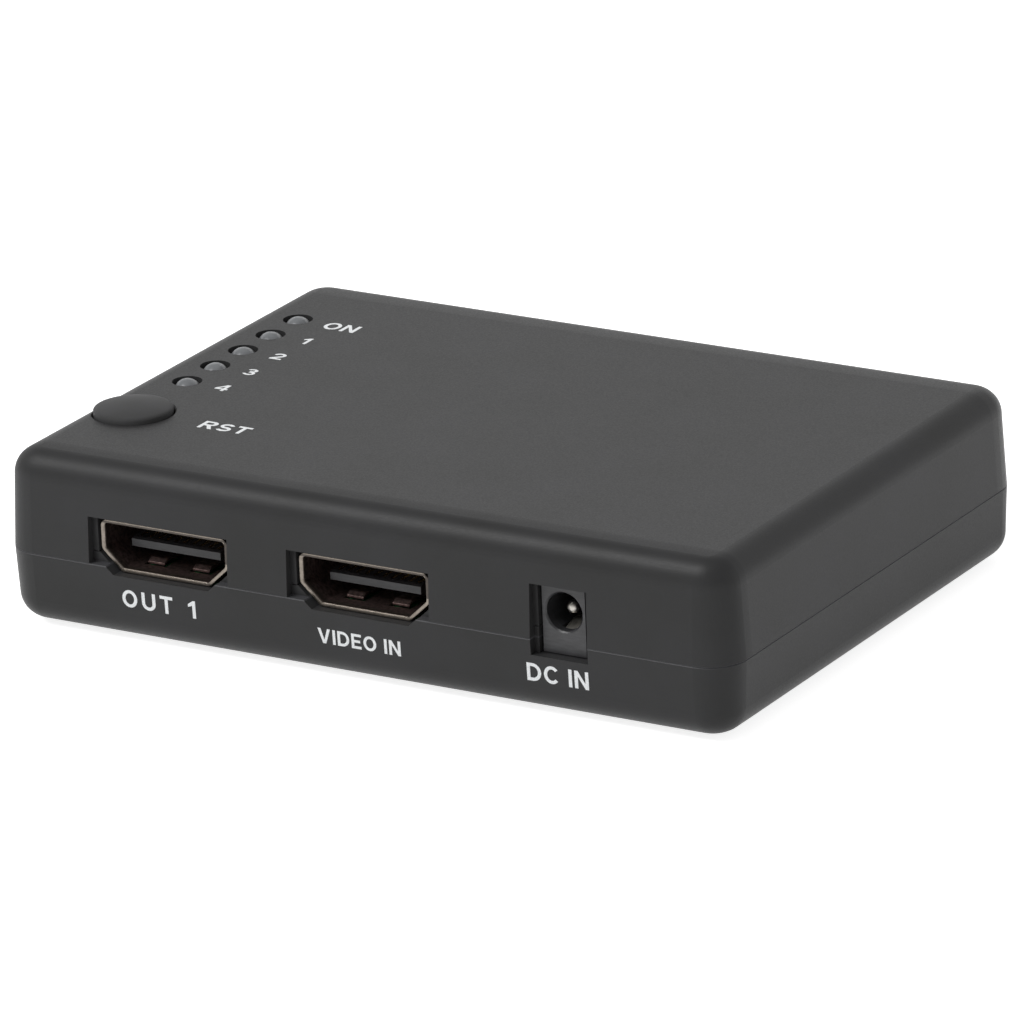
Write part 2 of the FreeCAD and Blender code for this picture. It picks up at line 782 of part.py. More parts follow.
def socket_insulator():
    """The moulded insulator: a back wall that fills the shell, and its tongue, grooved for contacts."""
    back_end = socket_depth + insulator_back_thickness
    back = d_block(-insulator_clearance, socket_depth, back_end)
    front = tongue_recess
    chamfer_end = front + tongue_chamfer_length
    root = socket_depth + tongue_root
    points = [(front, tongue_bottom + tongue_chamfer_height), (chamfer_end, tongue_bottom),
              (root, tongue_bottom), (root, tongue_top), (chamfer_end, tongue_top),
              (front, tongue_top - tongue_chamfer_height)]
    tongue = profile_yz(points, -tongue_width / 2, tongue_width / 2)
    upper, lower = contact_rows()
    slots = []
    for row, z in ((upper, tongue_top - contact_thickness), (lower, tongue_bottom)):
        for x in row:
            slots.append(box(x - contact_width / 2, x + contact_width / 2, contact_start,
                             back_end + overcut, z, z + contact_thickness))
    return fuse_all(back, [tongue]).cut(slots)


def place_socket(shape, x, rear):
    """Moves a socket piece from its own frame to its opening, turned round for the rear wall."""
    placed = shape.copy()
    if rear:
        placed.rotate(Vector(0, 0, 0), up, 180)
    placed.translate(Vector(x, -mouth_y if rear else mouth_y, board_top))
    return placed


# The power jack

def dc_jack_housing():
    """The moulded jack body, with a round bore and a lip over the board's front edge."""
    half = jack_width / 2
    body = box(jack_x - half, jack_x + half, jack_face_y, jack_back_y, board_top, jack_top)
    long_top_edges = [edge for edge in level_edges(body, jack_top) if edge.BoundBox.YLength > jack_length / 2]
    body = body.makeChamfer(jack_edge_chamfer, long_top_edges)
    lip = box(jack_x - half, jack_x + half, jack_face_y, -board_half_depth - jack_board_gap,
              jack_lip_bottom, board_top)
    bore = bar_inwards(jack_bore / 2, jack_face_y - overcut, jack_bore_end_y)
    lead_in = Part.makeCone(jack_bore / 2 + jack_lead_in, jack_bore / 2, jack_lead_in,
                            Vector(jack_x, jack_face_y, jack_axis), inwards)
    pin_hole = bar_inwards(pin_root_radius, jack_bore_end_y, jack_back_y + overcut)
    slot_half = spring_width / 2 + spring_side_gap
    spring_slot = box(jack_x - slot_half, jack_x + slot_half, jack_face_y + spring_slot_front,
                      jack_back_y - spring_slot_back_wall, board_top - overcut, jack_axis)
    return fuse_all(body, [lip]).cut([bore, lead_in, pin_hole, spring_slot])


def dc_jack_pin():
    """The centre pin: round-nosed, shouldered where it is riveted through the jack's back wall,
    with a tail down to the board."""
    tip_y = jack_face_y + pin_tip_recess
    shaft = bar_inwards(pin_radius, tip_y, jack_back_y)
    tip_edge = [edge for edge in shaft.Edges if abs(edge.BoundBox.YMax - tip_y) < 1e-6]
    shaft = shaft.makeFillet(pin_nose, tip_edge)
    root = bar_inwards(pin_root_radius, jack_bore_end_y, jack_back_y + terminal_sheet + pin_rivet_length)
    half = terminal_width / 2
    tail = box(jack_x - half, jack_x + half, jack_back_y, jack_back_y + terminal_sheet,
               board_bottom - lead_below_board, jack_axis + pin_root_radius + terminal_rise)
    return fuse_all(shaft, [root, tail])


def dc_jack_spring():
    """The leaf under the bore that touches the plug's sleeve, with its leg through the board."""
    sheet = spring_sheet
    bore_bottom = jack_axis - jack_bore / 2
    crest = bore_bottom + spring_rise
    start = jack_face_y + spring_front_recess
    crest_start = start + spring_slope_length
    crest_end = crest_start + spring_crest_length
    front = bore_bottom - spring_front_drop
    back = bore_bottom - spring_back_drop
    bottom = board_bottom - lead_below_board
    points = [(start, front), (crest_start, crest), (crest_end, crest), (spring_leg_y, back),
              (spring_leg_y, bottom), (spring_leg_y - sheet, bottom), (spring_leg_y - sheet, back - sheet),
              (crest_end, crest - sheet), (crest_start, crest - sheet), (start, front - sheet)]
    return profile_yz(points, jack_x - spring_width / 2, jack_x + spring_width / 2)


# Lamps, button and switch

def lamp(x, y):
    """A clear lamp body with a domed nose just proud of the top of the case."""
    spring_line = lamp_top - lamp_radius
    flange_top = lamp_base + lamp_flange_thickness
    diagonal = lamp_radius * math.sqrt(0.5)
    points = [(0.0, lamp_base), (lamp_flange_radius, lamp_base), (lamp_flange_radius, flange_top),
              (lamp_radius, flange_top), (lamp_radius, spring_line),
              (0.0, lamp_top, diagonal, spring_line + diagonal), (0.0, lamp_base)]
    return revolved(points, x, y)


def lamp_lead_places():
    """Every lamp lead's centre on the board."""
    return [(x + side * lamp_lead_pitch / 2, y) for x, y in lamp_places for side in (-1, 1)]


def led_leads():
    """Two square leads under each lamp, down through the board."""
    half = lamp_lead_size / 2
    return Part.Compound([pad(x, y, half, half, board_bottom - lead_below_board, lamp_base)
                          for x, y in lamp_lead_places()])


def reset_button():
    """The button cap: a crowned cup with a retaining flange and a stem down to the switch."""
    shoulder = case_top + button_shoulder_height
    apex = case_top + button_crown
    fillet = button_shoulder_fillet
    edge_radius = button_radius - fillet
    edge_z = shoulder + fillet
    crown_mid = edge_z + (apex - edge_z) * button_crown_fullness
    flange_bottom = button_flange_bottom
    cup_radius = button_radius - button_wall
    cup_top = apex - button_roof
    diagonal = fillet * (1 - math.sqrt(0.5))
    stem_bottom = plunger_top + rest_gap
    points = [(0.0, apex), (edge_radius, edge_z, edge_radius / 2, crown_mid),
              (button_radius, shoulder, button_radius - diagonal, edge_z - diagonal),
              (button_radius, ceiling), (button_flange_radius, ceiling),
              (button_flange_radius, flange_bottom), (cup_radius, flange_bottom), (cup_radius, cup_top),
              (button_stem_radius, cup_top), (button_stem_radius, stem_bottom), (0.0, stem_bottom),
              (0.0, apex)]
    cap = revolved(points, button_x, button_y)
    flat_x = inner_wall_x_at_ceiling + button_flange_wall_gap
    reach = 2 * button_flange_radius
    trim = box(flat_x - reach, flat_x, button_y - reach, button_y + reach, flange_bottom - overcut, ceiling)
    return cap.cut(trim)


def switch_block(z0, z1):
    """The switch's square outline with cut corners, between two heights."""
    block = pad(button_x, button_y, switch_size / 2, switch_size / 2, z0, z1)
    return block.makeChamfer(switch_corner_chamfer, upright_edges(block))


def reset_switch_body():
    """The switch base with its round well for the dome and plunger."""
    well = cylinder(plunger_flange_radius + plunger_side_clearance, button_x, button_y,
                    dome_seat, switch_body_top + overcut)
    return switch_block(board_top, switch_body_top).cut(well)


def reset_switch_cover():
    """The pressed steel plate over the switch base."""
    hole = cylinder(plunger_radius + plunger_side_clearance, button_x, button_y,
                    switch_body_top - overcut, switch_body_top + overcut)
    return switch_block(switch_body_top, switch_body_top + switch_cover_sheet).cut(hole)


def reset_switch_plunger():
    """The round plunger, held in by its flange under the steel plate."""
    flange_top = switch_body_top - rest_gap
    flange_bottom = switch_body_top - plunger_flange_height
    points = [(0.0, plunger_bottom), (plunger_core_radius, plunger_bottom),
              (plunger_core_radius, flange_bottom), (plunger_flange_radius, flange_bottom),
              (plunger_flange_radius, flange_top), (plunger_radius, flange_top),
              (plunger_radius, plunger_top), (0.0, plunger_top), (0.0, plunger_bottom)]
    return revolved(points, button_x, button_y)


def reset_switch_dome():
    """The thin snap dome that returns the plunger."""
    apex = dome_seat + dome_rise
    mid_radius = dome_radius / 2
    mid_z = dome_seat + dome_rise * dome_fullness
    sheet = dome_sheet
    flat = dome_flat_radius
    points = [(0.0, apex), (flat, apex), (dome_radius, dome_seat + sheet, mid_radius, mid_z),
              (dome_radius, dome_seat), (flat, apex - sheet, mid_radius, mid_z - sheet),
              (0.0, apex - sheet), (0.0, apex)]
    return revolved(points, button_x, button_y)


def switch_leg_places():
    """The switch's four legs, two on each side."""
    offset = switch_size / 2 + switch_leg_sheet / 2
    return [(button_x + side * offset, button_y + end * switch_leg_pitch / 2)
            for side in (-1, 1) for end in (-1, 1)]


def reset_switch_legs():
    """Four flat legs down the sides of the switch and through the board."""
    return Part.Compound([pad(x, y, switch_leg_sheet / 2, switch_leg_width / 2,
                              board_bottom - lead_below_board, board_top + switch_leg_height)
                          for x, y in switch_leg_places()])


# The board and what is soldered to it

def board_slot(x, y, length, width):
    """A hole in the board with room round a flat leg of the given length and width."""
    return pad(x, y, length / 2 + hole_clearance, width / 2 + hole_clearance,
               board_bottom - overcut, board_top + overcut)


def board_holes():
    """Every hole in the board, each from the piece that passes through it."""
    holes = [cylinder(screw_hole_radius, sx * screw_x, sy * screw_y, board_bottom - overcut,
                      board_top + overcut) for sx, sy in corner_signs]
    holes += [cylinder(lamp_lead_hole_radius, x, y, board_bottom - overcut, board_top + overcut)
              for x, y in lamp_lead_places()]
    holes += [board_slot(x, y, switch_leg_sheet, switch_leg_width) for x, y in switch_leg_places()]
    leg_x = (shell_width - shell_sheet) / 2
    for x, rear in every_socket():
        for leg_y in leg_places:
            y = mouth_y + leg_y
            for side in (-1, 1):
                holes.append(board_slot(x + side * leg_x, -y if rear else y, shell_sheet, leg_width))
    holes.append(board_slot(jack_x, jack_back_y + terminal_sheet / 2, terminal_width, terminal_sheet))
    holes.append(board_slot(jack_x, spring_leg_y - spring_sheet / 2, spring_width, spring_sheet))
    return holes


def main_board():
    """The printed board with its holes."""
    board = plate(board_half_length, board_half_depth, board_corner_radius, board_bottom, board_top)
    return board.cut(board_holes())


def chip_body(x, y, length, width, height):
    """A moulded chip body, widest at mid height, where its leads come out."""
    half_x = length / 2
    half_y = width / 2
    low = board_top + body_stand
    mid = low + height / 2
    high = low + height
    wide = rounded_rectangle(half_x, half_y, 0, mid)
    lower = Part.makeLoft([rounded_rectangle(half_x - body_waist, half_y - body_waist, 0, low), wide],
                          True, True)
    upper = Part.makeLoft([wide, rounded_rectangle(half_x - body_waist, half_y - body_waist, 0, high)],
                          True, True)
    body = lower.fuse(upper)
    body.translate(Vector(x, y, 0))
    return body


def gull_lead(x, y, side, half_width, height, lead_width, reach):
    """A lead that leaves a chip's side at mid height and steps down to the board."""
    mid = board_top + body_stand + height / 2
    high = mid + gull_sheet / 2
    low = mid - gull_sheet / 2
    start = y + side * half_width
    knee = start + side * gull_knee
    outer_knee = knee + side * gull_sheet
    end = start + side * reach
    foot_top = board_top + gull_sheet
    points = [(start, high), (outer_knee, high), (outer_knee, foot_top), (end, foot_top),
              (end, board_top), (knee, board_top), (knee, low), (start, low)]
    return profile_yz(points, x - lead_width / 2, x + lead_width / 2)


def memory_chip_leads():
    """A row of leads on each long side of the memory chip."""
    first_x = memory_x - memory_lead_pitch * (memory_lead_count - 1) / 2
    return Part.Compound([gull_lead(first_x + i * memory_lead_pitch, memory_y, side, memory_width / 2,
                                    memory_height, memory_lead_width, memory_lead_reach)
                          for i in range(memory_lead_count) for side in (-1, 1)])


def voltage_regulator_leads():
    """Three leads on one side of the regulator and its wide tab on the other."""
    half = regulator_width / 2
    leads = [gull_lead(regulator_x + i * regulator_lead_pitch, regulator_y, -1, half, regulator_height,
                       regulator_lead_width, regulator_lead_reach) for i in (-1, 0, 1)]
    leads.append(gull_lead(regulator_x, regulator_y, 1, half, regulator_height,
                           regulator_tab_width, regulator_lead_reach))
    return Part.Compound(leads)


def splitter_chip():
    """The flat square chip in the middle, with its first-pin dimple."""
    half = chip_side / 2
    top = board_top + chip_height
    body = plate(half, half, chip_corner_radius, board_top, top)
    body.translate(Vector(chip_x, chip_y, 0))
    offset = half - dimple_inset
    return body.cut(cylinder(dimple_radius, chip_x - offset, chip_y + offset, top - dimple_depth,
                             top + overcut))


def power_inductor():
    """A shielded inductor: a square ferrite with cut corners and a round core in a ring groove."""
    half = inductor_side / 2
    top = board_top + inductor_height
    body = pad(inductor_x, inductor_y, half, half, board_top, top)
    body = body.makeChamfer(inductor_corner, upright_edges(body))
    groove_bottom = top - inductor_groove_depth
    groove = cylinder(inductor_groove_radius, inductor_x, inductor_y, groove_bottom, top + overcut)
    core = cylinder(inductor_core_radius, inductor_x, inductor_y, groove_bottom, top + overcut)
    return body.cut(groove.cut(core))


def capacitor_cans():
    """Aluminium cans with the rolled groove near the foot."""
    z = board_top + can_base_height
    top = z + can_height
    bead_mid = z + can_bead_start + can_bead_half
    points = [(0.0, z), (can_radius, z), (can_radius, bead_mid - can_bead_half),
              (can_radius - can_bead_depth, bead_mid), (can_radius, bead_mid + can_bead_half),
              (can_radius, top - can_edge), (can_radius - can_edge, top), (0.0, top), (0.0, z)]
    return Part.Compound([revolved(points, x, y) for x, y in can_places])


def capacitor_bases():
    """Square plastic bases under the cans, with two cut corners."""
    half = can_radius + can_base_margin
    cut = half - can_base_corner
    outline = [(-half, -half), (cut, -half), (half, -cut), (half, cut), (cut, half), (-half, half)]
    bases = []
    for x, y in can_places:
        points = [Vector(x + px, y + py, board_top) for px, py in outline]
        bases.append(Part.Face(rounded_outline(points, 0)).extrude(up * can_base_height))
    return Part.Compound(bases)


def crystal():
    """A low crystal can with its rolled foot."""
    half_x = crystal_length / 2
    half_y = crystal_width / 2
    foot_top = board_top + crystal_foot_height
    can = plate(half_x, half_y, crystal_end_radius, foot_top, board_top + crystal_height)
    foot = plate(half_x + crystal_foot_margin, half_y + crystal_foot_margin,
                 crystal_end_radius + crystal_foot_margin, board_top, foot_top)
    body = fuse_all(foot, [can])
    body.translate(Vector(crystal_x, chip_y, 0))
    return body


def small_blocks(places, block):
    """Small soldered blocks of one size, each a separate solid on the board."""
    return Part.Compound([pad(x, y, block.x / 2, block.y / 2, board_top, board_top + block.z)
                          for x, y in places])


def evenly(count, pitch):
    """Places about zero, evenly spaced."""
    return [(i - (count - 1) / 2) * pitch for i in range(count)]


def surge_arrays():
    """Two surge arrays behind each socket."""
    y = abs(mouth_y) - socket_length - tail_length - surge_gap
    places = [(x + offset, y if rear else -y) for x, rear in every_socket()
              for offset in (-surge_offset, surge_offset)]
    return small_blocks(places, surge_block)


def chip_resistors():
    """Rows of chip resistors beside the lamps and on two sides of the splitter chip."""
    left = chip_x - chip_side / 2 - resistor_gap
    before = chip_y - chip_side / 2 - capacitor_gap
    places = [(lamp_x + lamp_resistor_spacing, y) for x, y in lamp_places]
    places += [(left, chip_y + step) for step in evenly(5, resistor_pitch)]
    places += [(chip_x + step, before) for step in evenly(6, resistor_pitch)]
    return small_blocks(places, resistor_block)


def chip_capacitors():
    """Chip capacitors beside the splitter chip, the memory chip and the regulator."""
    right = chip_x + chip_side / 2 + capacitor_gap
    beside = regulator_length / 2 + 2 * capacitor_block.x
    behind = memory_width / 2 + memory_lead_reach + 2 * capacitor_block.y
    places = [(right, chip_y + step) for step in evenly(5, resistor_pitch)]
    places += [(regulator_x - beside, regulator_y), (regulator_x + beside, regulator_y),
               (memory_x - capacitor_block.x, memory_y + behind)]
    return small_blocks(places, capacitor_block)


nodes = {
    "top_cover": top_cover(),
    "bottom_cover": bottom_cover(),
    "case_screws": case_screws(),
    "rubber_feet": rubber_feet(),
    "main_board": main_board(),
    "reset_button": reset_button(),
    "reset_switch_body": reset_switch_body(),
    "reset_switch_cover": reset_switch_cover(),
    "reset_switch_plunger": reset_switch_plunger(),
    "reset_switch_dome": reset_switch_dome(),
    "reset_switch_legs": reset_switch_legs(),
    "led_leads": led_leads(),
    "dc_jack_housing": dc_jack_housing(),
    "dc_jack_pin": dc_jack_pin(),
    "dc_jack_spring": dc_jack_spring(),
    "splitter_chip": splitter_chip(),
    "memory_chip": chip_body(memory_x, memory_y, memory_length, memory_width, memory_height),
    "memory_chip_leads": memory_chip_leads(),
    "voltage_regulator": chip_body(regulator_x, regulator_y, regulator_length, regulator_width,
                                   regulator_height),
    "voltage_regulator_leads": voltage_regulator_leads(),
    "power_inductor": power_inductor(),
    "capacitor_cans": capacitor_cans(),
    "capacitor_bases": capacitor_bases(),
    "crystal": crystal(),
    "surge_arrays": surge_arrays(),
    "chip_resistors": chip_resistors(),
    "chip_capacitors": chip_capacitors(),
}

for name, place in zip(lamp_names, lamp_places):
    nodes[name] = lamp(*place)

socket_pieces = {"shell": socket_shell(), "insulator": socket_insulator(), "contacts": socket_contacts()}
for rear, sockets in ((False, front_sockets), (True, rear_sockets)):
    for name, x in sockets.items():
        for piece, shape in socket_pieces.items():
            nodes[name + "_" + piece] = place_socket(shape, x, rear)

os.makedirs("parts", exist_ok=True)
for name, shape in nodes.items():
    shape.exportStep("parts/" + name + ".step")
    print(name, len(shape.Solids), "solids,", round(shape.Volume, 2), "mm3, valid", shape.isValid())
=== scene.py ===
import math

import bmesh
import bpy
from mathutils import Matrix, Vector


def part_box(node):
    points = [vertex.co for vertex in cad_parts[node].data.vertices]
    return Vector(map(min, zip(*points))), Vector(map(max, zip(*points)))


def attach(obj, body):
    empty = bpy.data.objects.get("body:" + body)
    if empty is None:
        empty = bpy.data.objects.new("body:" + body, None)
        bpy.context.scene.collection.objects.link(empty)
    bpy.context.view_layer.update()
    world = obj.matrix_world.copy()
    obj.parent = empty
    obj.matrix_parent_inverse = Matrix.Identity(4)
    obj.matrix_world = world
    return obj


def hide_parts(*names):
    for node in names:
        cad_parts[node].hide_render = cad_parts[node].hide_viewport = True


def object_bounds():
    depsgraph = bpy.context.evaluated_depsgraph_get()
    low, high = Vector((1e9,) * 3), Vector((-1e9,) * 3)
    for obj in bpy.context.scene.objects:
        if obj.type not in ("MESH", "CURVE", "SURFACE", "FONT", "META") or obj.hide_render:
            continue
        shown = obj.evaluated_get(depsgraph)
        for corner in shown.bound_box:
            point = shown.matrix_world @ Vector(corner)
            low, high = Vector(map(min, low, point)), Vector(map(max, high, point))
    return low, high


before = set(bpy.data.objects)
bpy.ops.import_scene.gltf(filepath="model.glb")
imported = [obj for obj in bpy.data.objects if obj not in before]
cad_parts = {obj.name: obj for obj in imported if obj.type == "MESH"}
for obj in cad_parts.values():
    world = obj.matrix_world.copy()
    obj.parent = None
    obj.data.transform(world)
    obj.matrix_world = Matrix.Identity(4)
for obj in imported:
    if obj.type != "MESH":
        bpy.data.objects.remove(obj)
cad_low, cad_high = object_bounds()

# The case: a lid and a tray moulded in black ABS from spark-eroded tools, which leave a fine even
# grain that scatters light and turns the black to a soft grey at low angles. They lap at the
# parting line and are screwed together from below.
mm = 0.001
case_black = "#303030"
case_black_worn = "#343435"
# Painted light: the lighter colour painted along the parting-line groove.
parting_groove_light_hex = "#434345"
case_grain = 0.16 * mm
case_grain_depth = 0.012 * mm
case_grain_strength = 0.55
grain_detail = 2.0
grain_low = 0.3
grain_high = 0.7
grain_roughness = 0.6
case_cloud = 9.0 * mm
cloud_detail = 3.0
abs_ior = 1.54
abs_gloss = 0.15
abs_roughness = 0.42
smoother_by = 0.05
rougher_by = 0.07
case_bottom = 0.5 * mm
parting_z = case_bottom + 7.6 * mm
painted_light_band_half = 0.1 * mm
crown_reach = 5.0 * mm
crown_curve = 1.5
crown_fall = 1.8


def linear(hex_colour):
    """An sRGB hex value as the linear colour that shaders take."""
    channels = [int(hex_colour[i:i + 2], 16) / 255 for i in (1, 3, 5)]
    return [c / 12.92 if c <= 0.04045 else ((c + 0.055) / 1.055) ** 2.4 for c in channels] + [1.0]


def add_node(tree, kind, inputs=None, **settings):
    """Adds a node with its settings. An input is a value, or another node's output to link."""
    made = tree.nodes.new("ShaderNode" + kind)
    for name, value in settings.items():
        setattr(made, name, value)
    for name, value in (inputs or {}).items():
        if isinstance(value, bpy.types.NodeSocket):
            tree.links.new(value, made.inputs[name])
        else:
            made.inputs[name].default_value = value
    return made


def new_surface(name):
    """A named material with an empty tree."""
    made = bpy.data.materials.new(name)
    made.use_nodes = True
    made.node_tree.nodes.clear()
    return made, made.node_tree


def close_surface(tree, shader):
    """Joins a shader to the material's output."""
    add_node(tree, "OutputMaterial", {"Surface": shader.outputs[0]})


def grained(tree, size, depth, strength):
    """A bump of even grains of a real size, with the place and the noise that it comes from."""
    place = add_node(tree, "TexCoord")
    grain = add_node(tree, "TexNoise", {"Vector": place.outputs["Object"], "Scale": 1 / size,
                                        "Detail": grain_detail, "Roughness": grain_roughness})
    bump = add_node(tree, "Bump", {"Height": grain.outputs["Fac"], "Strength": strength,
                                   "Distance": depth})
    return bump, place, grain


def blend_colours(tree, factor, low_hex, high_hex, low, high):
    """A colour that moves between two hex values as a factor goes from low to high."""
    ramp = add_node(tree, "ValToRGB", {"Fac": factor})
    stops = ramp.color_ramp.elements
    for stop, position, hex_colour in zip(stops, (low, high), (low_hex, high_hex)):
        stop.position = position
        stop.color = linear(hex_colour)
    return ramp.outputs["Color"]


def falling_bump(tree, out, start, curve, fall, under):
    """A bump that falls away faster and faster once a distance is past its start."""
    past = add_node(tree, "Math", {0: out, 1: start}, operation="SUBTRACT")
    past = add_node(tree, "Math", {0: past.outputs[0], 1: 0.0}, operation="MAXIMUM")
    curved = add_node(tree, "Math", {0: past.outputs[0], 1: curve}, operation="POWER")
    height = add_node(tree, "Math", {0: curved.outputs[0], 1: -fall}, operation="MULTIPLY")
    return add_node(tree, "Bump", {"Height": height.outputs[0], "Distance": 1.0,
                                   "Normal": under.outputs[0]})


def spark_textured_abs(name, crowned):
    """Moulded black ABS with a fine spark-eroded grain: matt, with a faint cloudiness.

    A crowned moulding falls away softly towards its front and rear edges. The groove at the parting
    line is painted a little lighter: painted light that lifts the shade in the groove.
    """
    surface, tree = new_surface(name)
    bump, place, grain = grained(tree, case_grain, case_grain_depth, case_grain_strength)
    at = add_node(tree, "SeparateXYZ", {"Vector": place.outputs["Object"]})
    if crowned:
        out = add_node(tree, "Math", {0: at.outputs["Y"]}, operation="ABSOLUTE")
        bump = falling_bump(tree, out.outputs[0], cad_high.y - crown_reach, crown_curve, crown_fall,
                            bump)
    cloud = add_node(tree, "TexNoise", {"Vector": place.outputs["Object"], "Scale": 1 / case_cloud,
                                        "Detail": cloud_detail})
    colour = blend_colours(tree, cloud.outputs["Fac"], case_black, case_black_worn, low=0.3,
                           high=0.75)
    # Painted light: a band a tenth of a millimetre either side of the parting line is lightened,
    # lifting the shade that falls in the groove.
    painted_light_band = add_node(tree, "Math", {0: at.outputs["Z"], 1: parting_z, 2: painted_light_band_half},
                       operation="COMPARE")
    colour = add_node(tree, "MixRGB", {"Fac": painted_light_band.outputs[0], "Color1": colour,
                                       "Color2": linear(parting_groove_light_hex)})
    rough = add_node(tree, "MapRange", {"Value": grain.outputs["Fac"],
                                        "From Min": grain_low, "From Max": grain_high,
                                        "To Min": abs_roughness - smoother_by,
                                        "To Max": abs_roughness + rougher_by})
    shader = add_node(tree, "BsdfPrincipled", {"Base Color": colour.outputs[0],
                                               "Roughness": rough.outputs[0], "IOR": abs_ior,
                                               "Specular IOR Level": abs_gloss,
                                               "Normal": bump.outputs[0]})
    close_surface(tree, shader)
    return surface


def dress(surface, *names):
    """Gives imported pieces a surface."""
    for name in names:
        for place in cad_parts[name].material_slots:
            place.material = surface


dress(spark_textured_abs("spark_textured_black_abs_lid", crowned=True), "top_cover")
dress(spark_textured_abs("spark_textured_black_abs_tray", crowned=False), "bottom_cover")

# The sockets' shells: nickel-plated steel strip, folded to the D shape. The sheared edge at the
# mouth is rounded by the plating and catches the light. The inside is duller; painted shade makes
# it warmer and darker with depth and darkens the rim's right and top strips.
nickel_hex = "#8b837a"
nickel_dark_hex = "#746d65"
# Painted shade: the dark colour of the rim's right strip and the lower part of its top strip.
rim_shade_hex = "#3b3735"
inside_painted_warm_hex = "#8a7672"
inside_painted_shade_hex = "#5e4f4c"
press_mark = 0.35 * mm
mark_detail = 4.0
mark_depth = 0.004 * mm
mark_strength = 0.15
rolled_stretch = 0.08
mark_smoother_by = 0.06
mark_rougher_by = 0.1
bevel_samples = 6
edge_round = 0.11 * mm
mouth_rough = 0.3
inside_rough = 0.5
inside_reach = 1.2 * mm
strip = 0.34 * mm
top_bright = 0.12 * mm
top_rim_shade = 0.8
right_rim_shade = 0.85
slant_drop = 2.6 * mm
lead_in = 0.5 * mm
lead_in_curve = 2.0
lead_in_fall = 0.9 / mm
socket_names = ["output_1", "input", "output_2", "output_3", "output_4"]
shell_low, shell_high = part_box("input_shell")
shell_size = shell_high - shell_low
shell_mouth = max(abs(shell_low.y), abs(shell_high.y))


def plated_metal(name, light_hex, dark_hex, roughness, mark, edge=0):
    """A plated metal, its colour and gloss varying along fine press marks of a real size.

    Edges are rounded where a radius is given.
    """
    surface, tree = new_surface(name)
    place = add_node(tree, "TexCoord")
    stretched = add_node(tree, "Mapping", {"Vector": place.outputs["Object"],
                                           "Scale": (1.0, rolled_stretch, 1.0)})
    marks = add_node(tree, "TexNoise", {"Vector": stretched.outputs[0], "Scale": 1 / mark,
                                        "Detail": mark_detail})
    colour = blend_colours(tree, marks.outputs["Fac"], dark_hex, light_hex, low=0.25, high=0.7)
    rough = add_node(tree, "MapRange", {"Value": marks.outputs["Fac"],
                                        "To Min": roughness - mark_smoother_by,
                                        "To Max": roughness + mark_rougher_by})
    bump = add_node(tree, "Bump", {"Height": marks.outputs["Fac"], "Strength": mark_strength,
                                   "Distance": mark_depth})
    if edge:
        rounded = add_node(tree, "Bevel", {"Radius": edge}, samples=bevel_samples)
        tree.links.new(rounded.outputs[0], bump.inputs["Normal"])
    shader = add_node(tree, "BsdfPrincipled", {"Base Color": colour, "Metallic": 1.0,
                                               "Roughness": rough.outputs[0],
                                               "Normal": bump.outputs[0]})
    close_surface(tree, shader)
    return surface


def torn_share(tree, place):
    """How much painted shade darkens the rim: along the right and the lower part of the top."""
    at = add_node(tree, "SeparateXYZ", {"Vector": place.outputs["Generated"]})
    across, up = at.outputs["X"], at.outputs["Z"]
    share = 0.0
    for value, start, amount in ((up, 1 - strip / shell_size.z, top_rim_shade),
                                 (up, 1 - top_bright / shell_size.z, -top_rim_shade),
                                 (across, 1 - strip / shell_size.x, right_rim_shade)):
        past = add_node(tree, "Math", {0: value, 1: start}, operation="GREATER_THAN")
        share = add_node(tree, "Math", {0: past.outputs[0], 1: amount, 2: share},
                         operation="MULTIPLY_ADD").outputs[0]
    above = add_node(tree, "Math", {0: up, 1: 1 - slant_drop / shell_size.z},
                     operation="GREATER_THAN")
    return add_node(tree, "Math", {0: share, 1: above.outputs[0]}, operation="MULTIPLY",
                    use_clamp=True).outputs[0]


